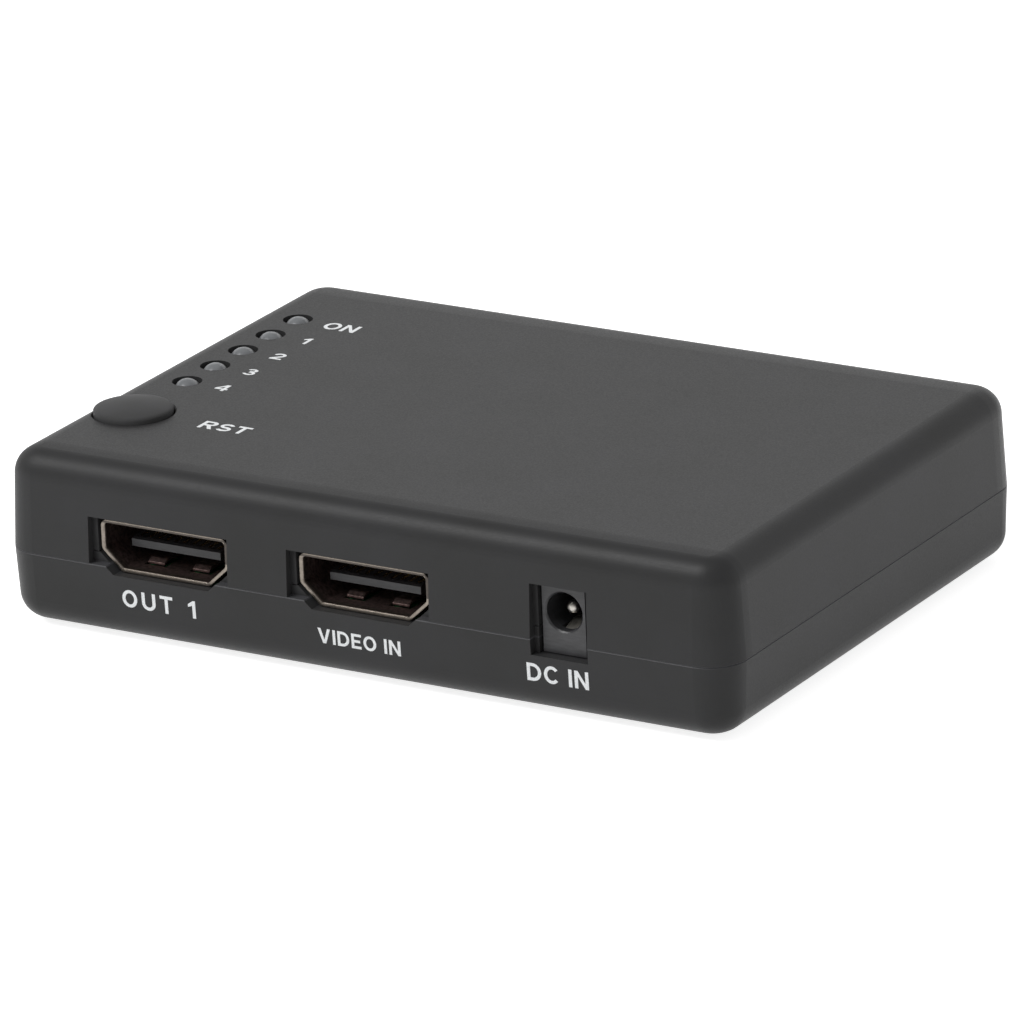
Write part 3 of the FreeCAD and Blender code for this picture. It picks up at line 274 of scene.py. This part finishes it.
def folded_shell():
    """Nickel-plated strip: bright at the rounded edge of the mouth, duller inside.

    Painted shade darkens the rim's right strip and the lower part of its top strip, and makes the
    inside warmer and darker with depth.
    """
    surface, tree = new_surface("nickel_plated_steel")
    place = add_node(tree, "TexCoord")
    marks = add_node(tree, "TexNoise", {"Vector": place.outputs["Object"], "Scale": 1 / press_mark,
                                        "Detail": mark_detail})
    at = add_node(tree, "SeparateXYZ", {"Vector": place.outputs["Object"]})
    out = add_node(tree, "Math", {0: at.outputs["Y"]}, operation="ABSOLUTE")
    depth = add_node(tree, "MapRange", {"Value": out.outputs[0], "To Min": 0.0, "To Max": 1.0,
                                        "From Min": shell_mouth,
                                        "From Max": shell_mouth - inside_reach})
    outer = blend_colours(tree, marks.outputs["Fac"], nickel_dark_hex, nickel_hex, low=0.25,
                          high=0.7)
    # Painted shade: the rim's right strip and the lower part of its top strip are darkened.
    outer = add_node(tree, "MixRGB", {"Fac": torn_share(tree, place), "Color1": outer,
                                      "Color2": linear(rim_shade_hex)})
    # Painted shade and warm reflection: the inside is warmer and darker than the mouth, mixed in
    # with depth.
    painted_inner = blend_colours(tree, marks.outputs["Fac"], inside_painted_shade_hex, inside_painted_warm_hex, low=0.35,
                          high=0.65)
    colour = add_node(tree, "MixRGB", {"Fac": depth.outputs[0], "Color1": outer.outputs[0],
                                       "Color2": painted_inner})
    rough = add_node(tree, "MapRange", {"Value": depth.outputs[0], "To Min": mouth_rough,
                                        "To Max": inside_rough})
    rounded = add_node(tree, "Bevel", {"Radius": edge_round}, samples=bevel_samples)
    flared = falling_bump(tree, out.outputs[0], shell_mouth - lead_in, lead_in_curve, lead_in_fall,
                          rounded)
    bump = add_node(tree, "Bump", {"Height": marks.outputs["Fac"], "Strength": mark_strength,
                                   "Distance": mark_depth, "Normal": flared.outputs[0]})
    shader = add_node(tree, "BsdfPrincipled", {"Base Color": colour.outputs[0], "Metallic": 1.0,
                                               "Roughness": rough.outputs[0],
                                               "Normal": bump.outputs[0]})
    close_surface(tree, shader)
    return surface


dress(folded_shell(), *[name + "_shell" for name in socket_names])

# The insulators and other black mouldings: glass-filled nylon or liquid-crystal polymer, which
# comes from the mould with a satin skin and a faint streak of fibre.
insulator_hex = "#29292b"
insulator_streak_hex = "#38383a"
fine_grain = 0.1 * mm
fine_grain_depth = 0.006 * mm
nylon_grain_strength = 0.3
nylon_roughness = 0.42
nylon_ior = 1.53
fibre_size = 0.3 * mm
fibre_stretch = 0.2
fibre_detail = 3.0


def glass_filled_nylon():
    """Satin black moulded nylon with faint streaks of glass fibre."""
    surface, tree = new_surface("glass_filled_black_nylon")
    bump, place, _ = grained(tree, fine_grain, fine_grain_depth, nylon_grain_strength)
    stretched = add_node(tree, "Mapping", {"Vector": place.outputs["Object"],
                                           "Scale": (fibre_stretch, 1.0, 1.0)})
    streak = add_node(tree, "TexNoise", {"Vector": stretched.outputs[0], "Scale": 1 / fibre_size,
                                         "Detail": fibre_detail})
    colour = blend_colours(tree, streak.outputs["Fac"], insulator_hex, insulator_streak_hex,
                           low=0.4, high=0.75)
    shader = add_node(tree, "BsdfPrincipled", {"Base Color": colour, "Roughness": nylon_roughness,
                                               "IOR": nylon_ior, "Normal": bump.outputs[0]})
    close_surface(tree, shader)
    return surface


black_nylon = glass_filled_nylon()
dress(black_nylon, *[name + "_insulator" for name in socket_names])

# The contacts: phosphor bronze strip with a gold flash, soft in colour and bright in gloss. They
# lie flush in grooves of each insulator's tongue.
gold_flash = plated_metal("gold_flashed_bronze", "#d9b45f", "#b08a3c", roughness=0.22,
                          mark=0.25 * mm)
dress(gold_flash, *[name + "_contacts" for name in socket_names])

# The power jack: a black nylon body round a nickel-plated brass pin, with a bright bronze leaf
# under the bore that presses on the plug's sleeve. The leaf is duller than the turned pin.
dress(black_nylon, "dc_jack_housing")
bright_nickel = plated_metal("nickel_plated_brass", "#c4c1bb", "#a09c94", roughness=0.28,
                             mark=0.5 * mm, edge=0.45 * mm)
dress(bright_nickel, "dc_jack_pin")
spring_strip = plated_metal("tinned_spring_bronze", "#cbc8c0", "#a5a198", roughness=0.5,
                            mark=0.3 * mm)
dress(spring_strip, "dc_jack_spring", "reset_switch_dome")

# The lamps: 3 mm bodies cast in clear epoxy with a milky core, unlit, so they look a soft grey.
# Their rim is painted dark: painted shade of the hole round them.
lens_hex = "#b3b6b9"
lens_haze_hex = "#9da0a4"
# Painted shade at the lenses' rim.
lens_painted_shade_hex = "#1b1c1e"
haze_size = 0.8 * mm
haze_detail = 2.0
haze_depth = 0.01 * mm
haze_strength = 0.1
core_radius = 1.12 * mm
rim_radius = 1.36 * mm
lens_roughness = 0.3
lens_clearness = 0.6
epoxy_ior = 1.51
lamp_names = ["power_led", "output_1_led", "output_2_led", "output_3_led", "output_4_led"]


def diffused_epoxy():
    """Cast epoxy with diffuser: milky, slightly see-through and glossy.

    The rim is painted dark, painted shade of the hole round the lamp.
    """
    surface, tree = new_surface("diffused_grey_epoxy")
    place = add_node(tree, "TexCoord")
    haze = add_node(tree, "TexNoise", {"Vector": place.outputs["Object"], "Scale": 1 / haze_size,
                                       "Detail": haze_detail})
    core = blend_colours(tree, haze.outputs["Fac"], lens_haze_hex, lens_hex, low=0.3, high=0.7)
    low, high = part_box("power_led")
    width = high.x - low.x
    centred = add_node(tree, "Mapping", {"Vector": place.outputs["Generated"],
                                         "Scale": (width, width, 0),
                                         "Location": (-width / 2, -width / 2, 0)})
    out = add_node(tree, "VectorMath", {0: centred.outputs[0]}, operation="LENGTH")
    # Painted shade: the colour darkens from the core out to the rim, for the shade of the hole
    # round the lamp.
    painted_rim_shade = add_node(tree, "MapRange", {"Value": out.outputs["Value"], "From Min": core_radius,
                                      "From Max": rim_radius})
    colour = add_node(tree, "MixRGB", {"Fac": painted_rim_shade.outputs[0], "Color1": core,
                                       "Color2": linear(lens_painted_shade_hex)})
    bump = add_node(tree, "Bump", {"Height": haze.outputs["Fac"], "Strength": haze_strength,
                                   "Distance": haze_depth})
    shader = add_node(tree, "BsdfPrincipled", {"Base Color": colour.outputs[0],
                                               "Roughness": lens_roughness, "IOR": epoxy_ior,
                                               "Transmission Weight": lens_clearness,
                                               "Normal": bump.outputs[0]})
    close_surface(tree, shader)
    return surface


dress(diffused_epoxy(), *lamp_names)

# The reset button: a separate moulding in dark grey ABS from a finely etched tool, a shade lighter
# and less glossy than the case. It travels a quarter of a millimetre onto the switch below it.
button_hex = "#3e3e3e"
button_worn_hex = "#424243"
button_grain_strength = 0.4
button_cloud = 3.0 * mm
button_gloss = 0.06
button_roughness = 0.46
button_roll = 0.9 * mm


def satin_abs():
    """Dark grey ABS from a finely etched tool, with a softly rolled edge."""
    surface, tree = new_surface("satin_black_abs")
    bump, place, _ = grained(tree, fine_grain, fine_grain_depth, button_grain_strength)
    rolled = add_node(tree, "Bevel", {"Radius": button_roll}, samples=bevel_samples)
    tree.links.new(rolled.outputs[0], bump.inputs["Normal"])
    cloud = add_node(tree, "TexNoise", {"Vector": place.outputs["Object"],
                                        "Scale": 1 / button_cloud})
    colour = blend_colours(tree, cloud.outputs["Fac"], button_hex, button_worn_hex, low=0.3,
                           high=0.7)
    shader = add_node(tree, "BsdfPrincipled", {"Base Color": colour, "Roughness": button_roughness,
                                               "IOR": abs_ior, "Specular IOR Level": button_gloss,
                                               "Normal": bump.outputs[0]})
    close_surface(tree, shader)
    return surface


dress(satin_abs(), "reset_button")

# The reset switch: a nylon base and plunger under a pressed tinned plate, on tinned legs, soldered
# to the board. The lamps' leads have the same bright, slightly rippled tin.
dress(black_nylon, "reset_switch_body", "reset_switch_plunger")
tin_plate = plated_metal("tin_plate", "#c9c9c8", "#a2a2a1", roughness=0.3, mark=0.3 * mm)
dress(tin_plate, "reset_switch_cover", "reset_switch_legs", "led_leads")

# The board: glass-epoxy laminate under green solder mask, which is glossy and lets the weave show
# as a faint ripple. It is clamped between the bosses of the lid and the tray.
mask_hex = "#0f4a26"
mask_light_hex = "#1a5f33"
weave_pitch = 0.5 * mm
weave_depth = 0.01 * mm
weave_strength = 0.2
mask_roughness = 0.28
laminate_ior = 1.55


def masked_laminate():
    """Green solder mask over woven glass laminate."""
    surface, tree = new_surface("green_masked_laminate")
    place = add_node(tree, "TexCoord")
    weave = add_node(tree, "TexWave", {"Vector": place.outputs["Object"], "Scale": 1 / weave_pitch,
                                       "Distortion": 1.0, "Detail": 1.0})
    colour = blend_colours(tree, weave.outputs["Fac"], mask_hex, mask_light_hex, low=0.2, high=0.8)
    bump = add_node(tree, "Bump", {"Height": weave.outputs["Fac"], "Strength": weave_strength,
                                   "Distance": weave_depth})
    shader = add_node(tree, "BsdfPrincipled", {"Base Color": colour, "Roughness": mask_roughness,
                                               "IOR": laminate_ior, "Normal": bump.outputs[0]})
    close_surface(tree, shader)
    return surface


dress(masked_laminate(), "main_board")

# What is soldered to the board: chips moulded in black epoxy, fired ceramic blocks and a sintered
# ferrite, all dull and fine-grained, and bright drawn cans: aluminium ones on nylon bases for the
# capacitors and a tinned one for the crystal.
body_grain_depth = 0.01 * mm
body_grain_strength = 0.4


def fired_or_moulded(name, light_hex, dark_hex, roughness, grain_size, ior):
    """A dull fine-grained body, such as moulded epoxy, ceramic, ferrite or rubber."""
    surface, tree = new_surface(name)
    bump, _, grain = grained(tree, grain_size, body_grain_depth, body_grain_strength)
    colour = blend_colours(tree, grain.outputs["Fac"], dark_hex, light_hex, low=0.35, high=0.65)
    shader = add_node(tree, "BsdfPrincipled", {"Base Color": colour, "Roughness": roughness,
                                               "IOR": ior, "Normal": bump.outputs[0]})
    close_surface(tree, shader)
    return surface


chip_epoxy = fired_or_moulded("moulded_chip_epoxy", "#2b2b2c", "#222223", roughness=0.55,
                              grain_size=0.12 * mm, ior=1.55)
dress(chip_epoxy, "splitter_chip", "memory_chip", "voltage_regulator", "surge_arrays")
chip_ceramic = fired_or_moulded("fired_ceramic", "#a08a6b", "#8a7557", roughness=0.45,
                                grain_size=0.2 * mm, ior=1.6)
dress(chip_ceramic, "chip_resistors", "chip_capacitors")
choke_ferrite = fired_or_moulded("sintered_ferrite", "#4a4a4c", "#3a3a3c", roughness=0.6,
                                 grain_size=0.15 * mm, ior=1.6)
dress(choke_ferrite, "power_inductor")
drawn_aluminium = plated_metal("drawn_aluminium", "#cfd0d2", "#aeb0b3", roughness=0.24,
                               mark=0.6 * mm)
dress(drawn_aluminium, "capacitor_cans")
dress(black_nylon, "capacitor_bases")
dress(tin_plate, "crystal", "memory_chip_leads", "voltage_regulator_leads")

# The screws: black zinc-plated pan heads with a cross recess, down in the floor's counterbores.
# Their spaced threads cut their own way into the lid's bosses.
black_zinc = plated_metal("black_zinc_plate", "#3a3a3e", "#262629", roughness=0.34,
                          mark=0.3 * mm)
screw_radius = 1.1 * mm
thread_root_radius = 0.85 * mm
thread_pitch = 0.95 * mm
thread_start = 0.6 * mm
thread_slope = 0.2
point_length = 1.2 * mm
point_share = 0.3
head_radius = 2.05 * mm
head_height = 1.5 * mm
head_skirt = 0.55 * mm
head_flat_share = 0.62
head_arc_steps = 6
recess_depth = 0.95 * mm
recess_reach = 1.2 * mm
recess_width = 0.5 * mm
recess_clear = 0.1 * mm
recess_flare = 1.1
recess_taper = 0.4
screw_sides = 32
thread_steps = 12
screw_sharp_angle = math.radians(35)


def ring_mesh(bm, rings, sides):
    """Joins rings of points, each a function of the angle, into a closed round body."""
    loops = [[bm.verts.new(ring(2 * math.pi * i / sides)) for i in range(sides)] for ring in rings]
    for low, high in zip(loops, loops[1:]):
        for i in range(sides):
            j = (i + 1) % sides
            bm.faces.new((low[i], low[j], high[j], high[i]))
    bm.faces.new(list(reversed(loops[0])))
    bm.faces.new(loops[-1])


def level_ring(radius, z):
    """A plain round ring at a height."""
    return lambda turn: (radius * math.cos(turn), radius * math.sin(turn), z)


def thread_ring(z, length):
    """A ring of the threaded shaft at a height above the seat, thinner towards the point."""
    taper = min(1.0, point_share + (1 - point_share) * (length - z) / point_length)

    def point(turn):
        phase = (z / thread_pitch - turn / (2 * math.pi)) % 1.0
        ridge = max(0.0, 1.0 - abs(phase - 0.5) / thread_slope)
        radius = taper * (thread_root_radius + ridge * (screw_radius - thread_root_radius))
        return radius * math.cos(turn), radius * math.sin(turn), z
    return point


def screw_blank(length):
    """A pan-head screw standing on its head's seat at z = 0, point up, without its recess."""
    bm = bmesh.new()
    rings = []
    for step in range(head_arc_steps + 1):
        turn = math.pi / 2 * step / head_arc_steps
        share = head_flat_share + (1 - head_flat_share) * math.sin(turn)
        rings.append(level_ring(head_radius * share,
                                -head_skirt - (head_height - head_skirt) * math.cos(turn)))
    rings += [level_ring(head_radius, 0), level_ring(screw_radius, 0),
              level_ring(screw_radius, thread_start)]
    threaded = length - thread_start
    count = round(threaded / thread_pitch * thread_steps)
    rings += [thread_ring(thread_start + threaded * i / count, length) for i in range(1, count + 1)]
    ring_mesh(bm, rings, screw_sides)
    return bm


def recess_cutter():
    """Two crossed wedges that narrow towards the bottom of the recess."""
    bm = bmesh.new()
    narrow = recess_width / recess_reach
    for reach, width in ((1.0, narrow), (narrow, 1.0)):
        corners = []
        for scale, z in ((recess_flare, -head_height - recess_clear),
                         (recess_taper, -head_height + recess_depth)):
            half_x, half_y = recess_reach * reach * scale, recess_reach * width * scale
            corners += [bm.verts.new((side_x * half_x, side_y * half_y, z))
                        for side_x, side_y in ((-1, -1), (1, -1), (1, 1), (-1, 1))]
        for face in ((3, 2, 1, 0), (4, 5, 6, 7),
                     (0, 1, 5, 4), (1, 2, 6, 5), (2, 3, 7, 6), (3, 0, 4, 7)):
            bm.faces.new([corners[i] for i in face])
    return bm


def link_object(name, data):
    """An object in the scene that holds some data."""
    made = bpy.data.objects.new(name, data)
    bpy.context.scene.collection.objects.link(made)
    return made


def made_object(name, bm):
    """An object in the scene from a finished bmesh."""
    mesh = bpy.data.meshes.new(name)
    bm.to_mesh(mesh)
    bm.free()
    return link_object(name, mesh)


def detailed_screws():
    """The four screws in the CAD screws' places, with recess and thread."""
    low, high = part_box("case_screws")
    seat = low.z + head_height
    blank = made_object("screw_blank", screw_blank(high.z - seat))
    cutter = made_object("recess_cutter", recess_cutter())
    cut = blank.modifiers.new("recess", "BOOLEAN")
    cut.object = cutter
    cut.solver = "EXACT"
    cut.use_self = True
    bpy.context.view_layer.update()
    graph = bpy.context.evaluated_depsgraph_get()
    one = bpy.data.meshes.new_from_object(blank.evaluated_get(graph))
    all_four = bmesh.new()
    for x in (low.x + head_radius, high.x - head_radius):
        for y in (low.y + head_radius, high.y - head_radius):
            screw = one.copy()
            screw.transform(Matrix.Translation((x, y, seat)))
            all_four.from_mesh(screw)
    screws = made_object("recessed_screws", all_four)
    for spare in (blank, cutter):
        bpy.data.objects.remove(spare)
    screws.data.materials.append(black_zinc)
    for polygon in screws.data.polygons:
        polygon.use_smooth = True
    screws.data.set_sharp_from_angle(angle=screw_sharp_angle)
    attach(screws, "housing")
    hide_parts("case_screws")


detailed_screws()

# The feet: punched discs of matt black rubber with a dull, slightly dusty skin, stuck in shallow
# recesses of the tray.
black_rubber = fired_or_moulded("punched_black_rubber", "#2c2c2d", "#232324", roughness=0.8,
                                grain_size=0.25 * mm, ior=1.52)
dress(black_rubber, "rubber_feet")

# The lettering: white ink pad-printed on the lid and the tray, a hundredth of a millimetre thick,
# in bold plain capitals and numbers whose strokes are a fifth of their height.
ink_hex = "#eef0f1"
ink_broken_hex = "#d3d6d8"
ink_grain_depth = 0.01 * mm
ink_grain_strength = 0.3
ink_roughness = 0.55
ink_ior = 1.5
ink_height = 0.012 * mm
lower_draft = math.radians(2.8)
arc_step = 15
stroke = 0.2
thin = 0.9 * stroke
letter_gap = 0.16
word_gap = 0.42
wide_gap = 0.13


def pad_ink():
    """White pad-printing ink: flat, slightly broken where the case grain shows through."""
    surface, tree = new_surface("white_pad_ink")
    bump, _, grain = grained(tree, case_grain, ink_grain_depth, ink_grain_strength)
    colour = blend_colours(tree, grain.outputs["Fac"], ink_broken_hex, ink_hex, low=0.25, high=0.6)
    shader = add_node(tree, "BsdfPrincipled", {"Base Color": colour, "Roughness": ink_roughness,
                                               "IOR": ink_ior, "Normal": bump.outputs[0]})
    close_surface(tree, shader)
    return surface


def arc(x, y, radius_x, radius_y, start, end):
    """Points along an elliptical arc between two angles in degrees."""
    steps = max(2, round(abs(end - start) / arc_step))
    turns = [math.radians(start + (end - start) * i / steps) for i in range(steps + 1)]
    return [(x + radius_x * math.cos(turn), y + radius_y * math.sin(turn)) for turn in turns]


ink = pad_ink()

# Each letter's width and outlines, its bowls cut out, in heights of a capital.
letters = {
    "C": (0.9, [arc(0.47, 0.5, 0.47, 0.5, 40, 320)
                + arc(0.47, 0.5, 0.47 - stroke, 0.5 - thin, 320, 40)]),
    "D": (0.86, [[(0, 0)] + arc(0.36, 0.5, 0.5, 0.5, -90, 90) + [(0, 1)],
                 [(stroke, thin)] + arc(0.36, 0.5, 0.5 - stroke, 0.5 - thin, -90, 90)
                 + [(stroke, 1 - thin)]]),
    "E": (0.72, [[(0, 0), (0.72, 0), (0.72, thin), (stroke, thin), (stroke, 0.41), (0.64, 0.41),
                  (0.64, 0.59), (stroke, 0.59), (stroke, 1 - thin), (0.72, 1 - thin), (0.72, 1),
                  (0, 1)]]),
    "I": (stroke, [[(0, 0), (stroke, 0), (stroke, 1), (0, 1)]]),
    "N": (0.84, [[(0, 0), (0, 1), (stroke, 1), (0.64, 0.32), (0.64, 1), (0.84, 1), (0.84, 0),
                  (0.64, 0), (stroke, 0.68), (stroke, 0)]]),
    "O": (0.94, [arc(0.47, 0.5, 0.47, 0.5, 0, 345),
                 arc(0.47, 0.5, 0.47 - stroke, 0.5 - thin, 0, 345)]),
    "R": (0.84, [[(0, 0), (stroke, 0), (stroke, 0.39), (0.36, 0.39), (0.6, 0), (0.84, 0),
                  (0.58, 0.43)] + arc(0.48, 0.71, 0.35, 0.29, -70, 90) + [(0, 1)],
                 [(stroke, 0.57)] + arc(0.46, 0.7, 0.15, 0.13, -90, 90) + [(stroke, 0.83)]]),
    "S": (0.8, [arc(0.4, 0.705, 0.385, 0.3, 25, 270) + arc(0.4, 0.295, 0.215, 0.11, 90, -155)
                + arc(0.4, 0.295, 0.405, 0.3, -155, 90) + arc(0.4, 0.705, 0.195, 0.11, 270, 25)]),
    "T": (0.8, [[(0.3, 0), (0.5, 0), (0.5, 1 - thin), (0.8, 1 - thin), (0.8, 1), (0, 1),
                 (0, 1 - thin), (0.3, 1 - thin)]]),
    "U": (0.86, [[(0, 1)] + arc(0.43, 0.4, 0.43, 0.4, 180, 360)
                 + [(0.86, 1), (0.86 - stroke, 1)]
                 + arc(0.43, 0.4, 0.43 - stroke, 0.4 - thin, 360, 180) + [(stroke, 1)]]),
    "V": (0.92, [[(0, 1), (0.22, 1), (0.46, 0.24), (0.7, 1), (0.92, 1), (0.57, 0), (0.35, 0)]]),
    "1": (0.46, [[(0.26, 0), (0.46, 0), (0.46, 1), (0.31, 1), (0, 0.78), (0, 0.62),
                  (0.26, 0.72)]]),
    "2": (0.78, [[(0, 0), (0.78, 0), (0.78, 0.18), (0.33, 0.18)]
                 + arc(0.39, 0.69, 0.39, 0.31, -40, 180)
                 + arc(0.39, 0.69, 0.19, 0.13, 180, -40) + [(0, 0.17)]]),
    "3": (0.76, [arc(0.37, 0.74, 0.34, 0.26, 165, -50) + arc(0.37, 0.29, 0.39, 0.29, 50, -165)
                 + arc(0.37, 0.29, 0.19, 0.12, -165, 80) + [(0.27, 0.41), (0.27, 0.63)]
                 + arc(0.37, 0.74, 0.15, 0.1, -80, 165)]),
    "4": (0.84, [[(0.5, 0), (0.7, 0), (0.7, 0.22), (0.84, 0.22), (0.84, 0.38), (0.7, 0.38),
                  (0.7, 1), (0.48, 1), (0, 0.38), (0, 0.22), (0.5, 0.22)],
                 [(0.5, 0.38), (0.5, 0.74), (0.2, 0.38)]]),
}


def print_word(name, text, cap_height, place, spread=0.0):
    """Prints a word with capitals of a given height, centred and turned by a placing matrix."""
    curve = bpy.data.curves.new(name, "CURVE")
    curve.dimensions = "2D"
    curve.fill_mode = "BOTH"
    curve.extrude = ink_height / 2
    curve.materials.append(ink)
    reach = 0.0
    outlines = []
    for letter in text:
        if letter == " ":
            reach += word_gap + 2 * spread
            continue
        width, shapes = letters[letter]
        outlines += [[(reach + x, y) for x, y in shape] for shape in shapes]
        reach += width + letter_gap + spread
    middle = (reach - letter_gap - spread) / 2
    for outline in outlines:
        spline = curve.splines.new("POLY")
        spline.points.add(len(outline) - 1)
        for point, (x, y) in zip(spline.points, outline):
            point.co = ((x - middle) * cap_height, (y - 0.5) * cap_height, 0, 1)
        spline.use_cyclic_u = True
    printed = link_object(name, curve)
    printed.matrix_world = place
    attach(printed, "housing")


def on_lid(x, y):
    """A place on the lid, read from the front."""
    return Matrix.Translation((x, y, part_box("top_cover")[1].z + ink_height / 2))


def on_tray_wall(x, z, rear=False):
    """A place on the tray's drafted front or rear wall, read from outside."""
    out = cad_high.y - (parting_z - z) * math.tan(lower_draft) + ink_height / 2
    tilt = Matrix.Rotation(math.pi / 2 + lower_draft, 4, "X")
    if rear:
        return Matrix.Translation((x, out, z)) @ Matrix.Rotation(math.pi, 4, "Z") @ tilt
    return Matrix.Translation((x, -out, z)) @ tilt


def middle_of(name):
    """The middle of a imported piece's box."""
    low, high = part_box(name)
    return (low + high) / 2


# Each word's name, text and capital height, the piece it belongs to, its shift from the middle of
# that piece, and on the tray its height above the case's floor and the room between its letters.
label_cap = 1.85 * mm
small_cap = 1.55 * mm
lid_cap = 2.0 * mm
number_cap = 1.75 * mm
rear_label_height = 4.4 * mm
front_words = (
    ("print_out_1", "OUT 1", label_cap, "output_1_shell", -0.38 * mm, 4.56 * mm, wide_gap),
    ("print_in", "VIDEO IN", small_cap, "input_shell", -0.3 * mm, 4.2 * mm, 0.0),
    ("print_power", "DC IN", label_cap, "dc_jack_housing", -0.3 * mm, 4.22 * mm, 0.0),
)
for name, text, cap_height, owner, shift, height, spread in front_words:
    print_word(name, text, cap_height,
               on_tray_wall(middle_of(owner).x + shift, case_bottom + height), spread)
for number in (2, 3, 4):
    place = on_tray_wall(middle_of(f"output_{number}_shell").x, case_bottom + rear_label_height,
                         rear=True)
    print_word(f"print_out_{number}", f"OUT {number}", label_cap, place, wide_gap)
lid_words = [("print_on", "ON", lid_cap, lamp_names[0], 5.5 * mm, -0.45 * mm)]
lid_words += [(f"print_lamp_{number}", str(number), number_cap, name, 4.45 * mm, -0.3 * mm)
              for number, name in enumerate(lamp_names[1:], start=1)]
lid_words.append(("print_reset", "RST", lid_cap, "reset_button", 10.6 * mm, -0.35 * mm))
for name, text, cap_height, owner, shift_x, shift_y in lid_words:
    at = middle_of(owner)
    print_word(name, text, cap_height, on_lid(at.x + shift_x, at.y + shift_y))

# The floor and light: a wide pale floor and surround, both white where they are seen, a large soft
# lamp high on the front left and a weak one on the right. What gloss mirrors of the surround is a
# white sweep behind the object, with a dimmer room before and above it.
floor_half = 3.0
floor_white = 0.7
floor_lift = 0.82
world_fill = 0.5
sweep_top = math.radians(30.0)
ceiling_from = math.radians(42.0)
ceiling_level = 0.25
room_level = 0.3
room_from = -0.5
sweep_from = 0.1


def stage_floor():
    """A wide pale floor that reads white to the camera and keeps the object's shadow."""
    corners = [(-floor_half, -floor_half, 0), (floor_half, -floor_half, 0),
               (floor_half, floor_half, 0), (-floor_half, floor_half, 0)]
    mesh = bpy.data.meshes.new("stage_floor")
    mesh.from_pydata([Vector(corner) for corner in corners], [], [(0, 1, 2, 3)])
    surface, tree = new_surface("pale_floor")
    rays = add_node(tree, "LightPath")
    seen = rays.outputs["Is Camera Ray"]
    for kind in ("Is Glossy Ray", "Is Transmission Ray"):
        seen = add_node(tree, "Math", {0: seen, 1: rays.outputs[kind]},
                        operation="MAXIMUM").outputs[0]
    lift = add_node(tree, "Math", {0: seen, 1: floor_lift}, operation="MULTIPLY")
    matt = add_node(tree, "BsdfDiffuse", {"Color": (floor_white, floor_white, floor_white, 1)})
    glow = add_node(tree, "Emission", {"Strength": lift.outputs[0]})
    both = add_node(tree, "AddShader", {0: matt.outputs[0], 1: glow.outputs[0]})
    close_surface(tree, both)
    mesh.materials.append(surface)
    link_object("stage_floor", mesh)


def soft_lamp(name, size, power, place, aim):
    """A square soft lamp that faces a point."""
    light = bpy.data.lights.new(name, "AREA")
    light.shape = "SQUARE"
    light.size = size
    light.energy = power
    lamp = link_object(name, light)
    lamp.location = place
    lamp.rotation_euler = (Vector(aim) - Vector(place)).to_track_quat("-Z", "Y").to_euler()


def pale_world():
    """A surround that is white where seen, lights the object evenly, and is graded in gloss."""
    world = bpy.data.worlds.new("pale_world")
    world.use_nodes = True
    tree = world.node_tree
    tree.nodes.clear()
    rays = add_node(tree, "LightPath")
    place = add_node(tree, "TexCoord")
    way = add_node(tree, "SeparateXYZ", {"Vector": place.outputs["Generated"]})
    above = add_node(tree, "MapRange", {"Value": way.outputs["Z"],
                                        "From Min": math.sin(sweep_top), "To Min": 1.0,
                                        "From Max": math.sin(ceiling_from),
                                        "To Max": ceiling_level})
    before = add_node(tree, "MapRange", {"Value": way.outputs["Y"],
                                         "From Min": room_from, "To Min": room_level,
                                         "From Max": sweep_from, "To Max": 1.0})
    mirrored = add_node(tree, "Math", {0: above.outputs[0], 1: before.outputs[0]},
                        operation="MULTIPLY")
    lit = add_node(tree, "MapRange", {"Value": rays.outputs["Is Glossy Ray"], "To Min": world_fill,
                                      "To Max": mirrored.outputs[0]})
    seen = add_node(tree, "Math", {0: rays.outputs["Is Camera Ray"],
                                   1: rays.outputs["Is Transmission Ray"]}, operation="MAXIMUM")
    strength = add_node(tree, "Math", {0: seen.outputs[0], 1: lit.outputs[0]}, operation="MAXIMUM")
    back = add_node(tree, "Background", {"Color": (1, 1, 1, 1), "Strength": strength.outputs[0]})
    add_node(tree, "OutputWorld", {"Surface": back.outputs[0]})
    bpy.context.scene.world = world


stage_floor()
pale_world()
object_middle = (0, 0, 9 * mm)
soft_lamp("front_left_lamp", size=0.45, power=6.5, place=(-0.38, -0.52, 0.76), aim=object_middle)
soft_lamp("right_lamp", size=0.5, power=0.2, place=(0.8, 0.2, 0.4), aim=object_middle)

# The camera: a long lens at the photograph's angle, a little over the front right corner, turned
# slightly about its own axis as the photograph is.
view_azimuth = math.radians(31.3234)
view_elevation = math.radians(19.8132)
view_roll = math.radians(-2.35)
view_distance = 901.2 * mm
view_lens = 318.75
view_sensor = 36.0
view_near = 0.01
view_far = 50.0
aim_height = 9.875 * mm
aim_drop = 1.556 * mm


def stand_camera():
    """Places the camera at the photograph's angle, roll and framing."""
    back = Vector((math.sin(view_azimuth) * math.cos(view_elevation),
                   -math.cos(view_azimuth) * math.cos(view_elevation), math.sin(view_elevation)))
    side = Vector((math.cos(view_azimuth), math.sin(view_azimuth), 0))
    rise = back.cross(side)
    across = side * math.cos(view_roll) + rise * math.sin(view_roll)
    upward = -side * math.sin(view_roll) + rise * math.cos(view_roll)
    lens = bpy.data.cameras.new("camera")
    lens.lens = view_lens
    lens.sensor_width = view_sensor
    lens.clip_start = view_near
    lens.clip_end = view_far
    camera = link_object("camera", lens)
    spot = Vector((0, 0, aim_height)) + back * view_distance - upward * aim_drop
    turn = Matrix((across, upward, back)).transposed().to_4x4()
    camera.matrix_world = Matrix.Translation(spot) @ turn
    bpy.context.scene.camera = camera


stand_camera()
bpy.context.scene.view_settings.view_transform = "Standard"
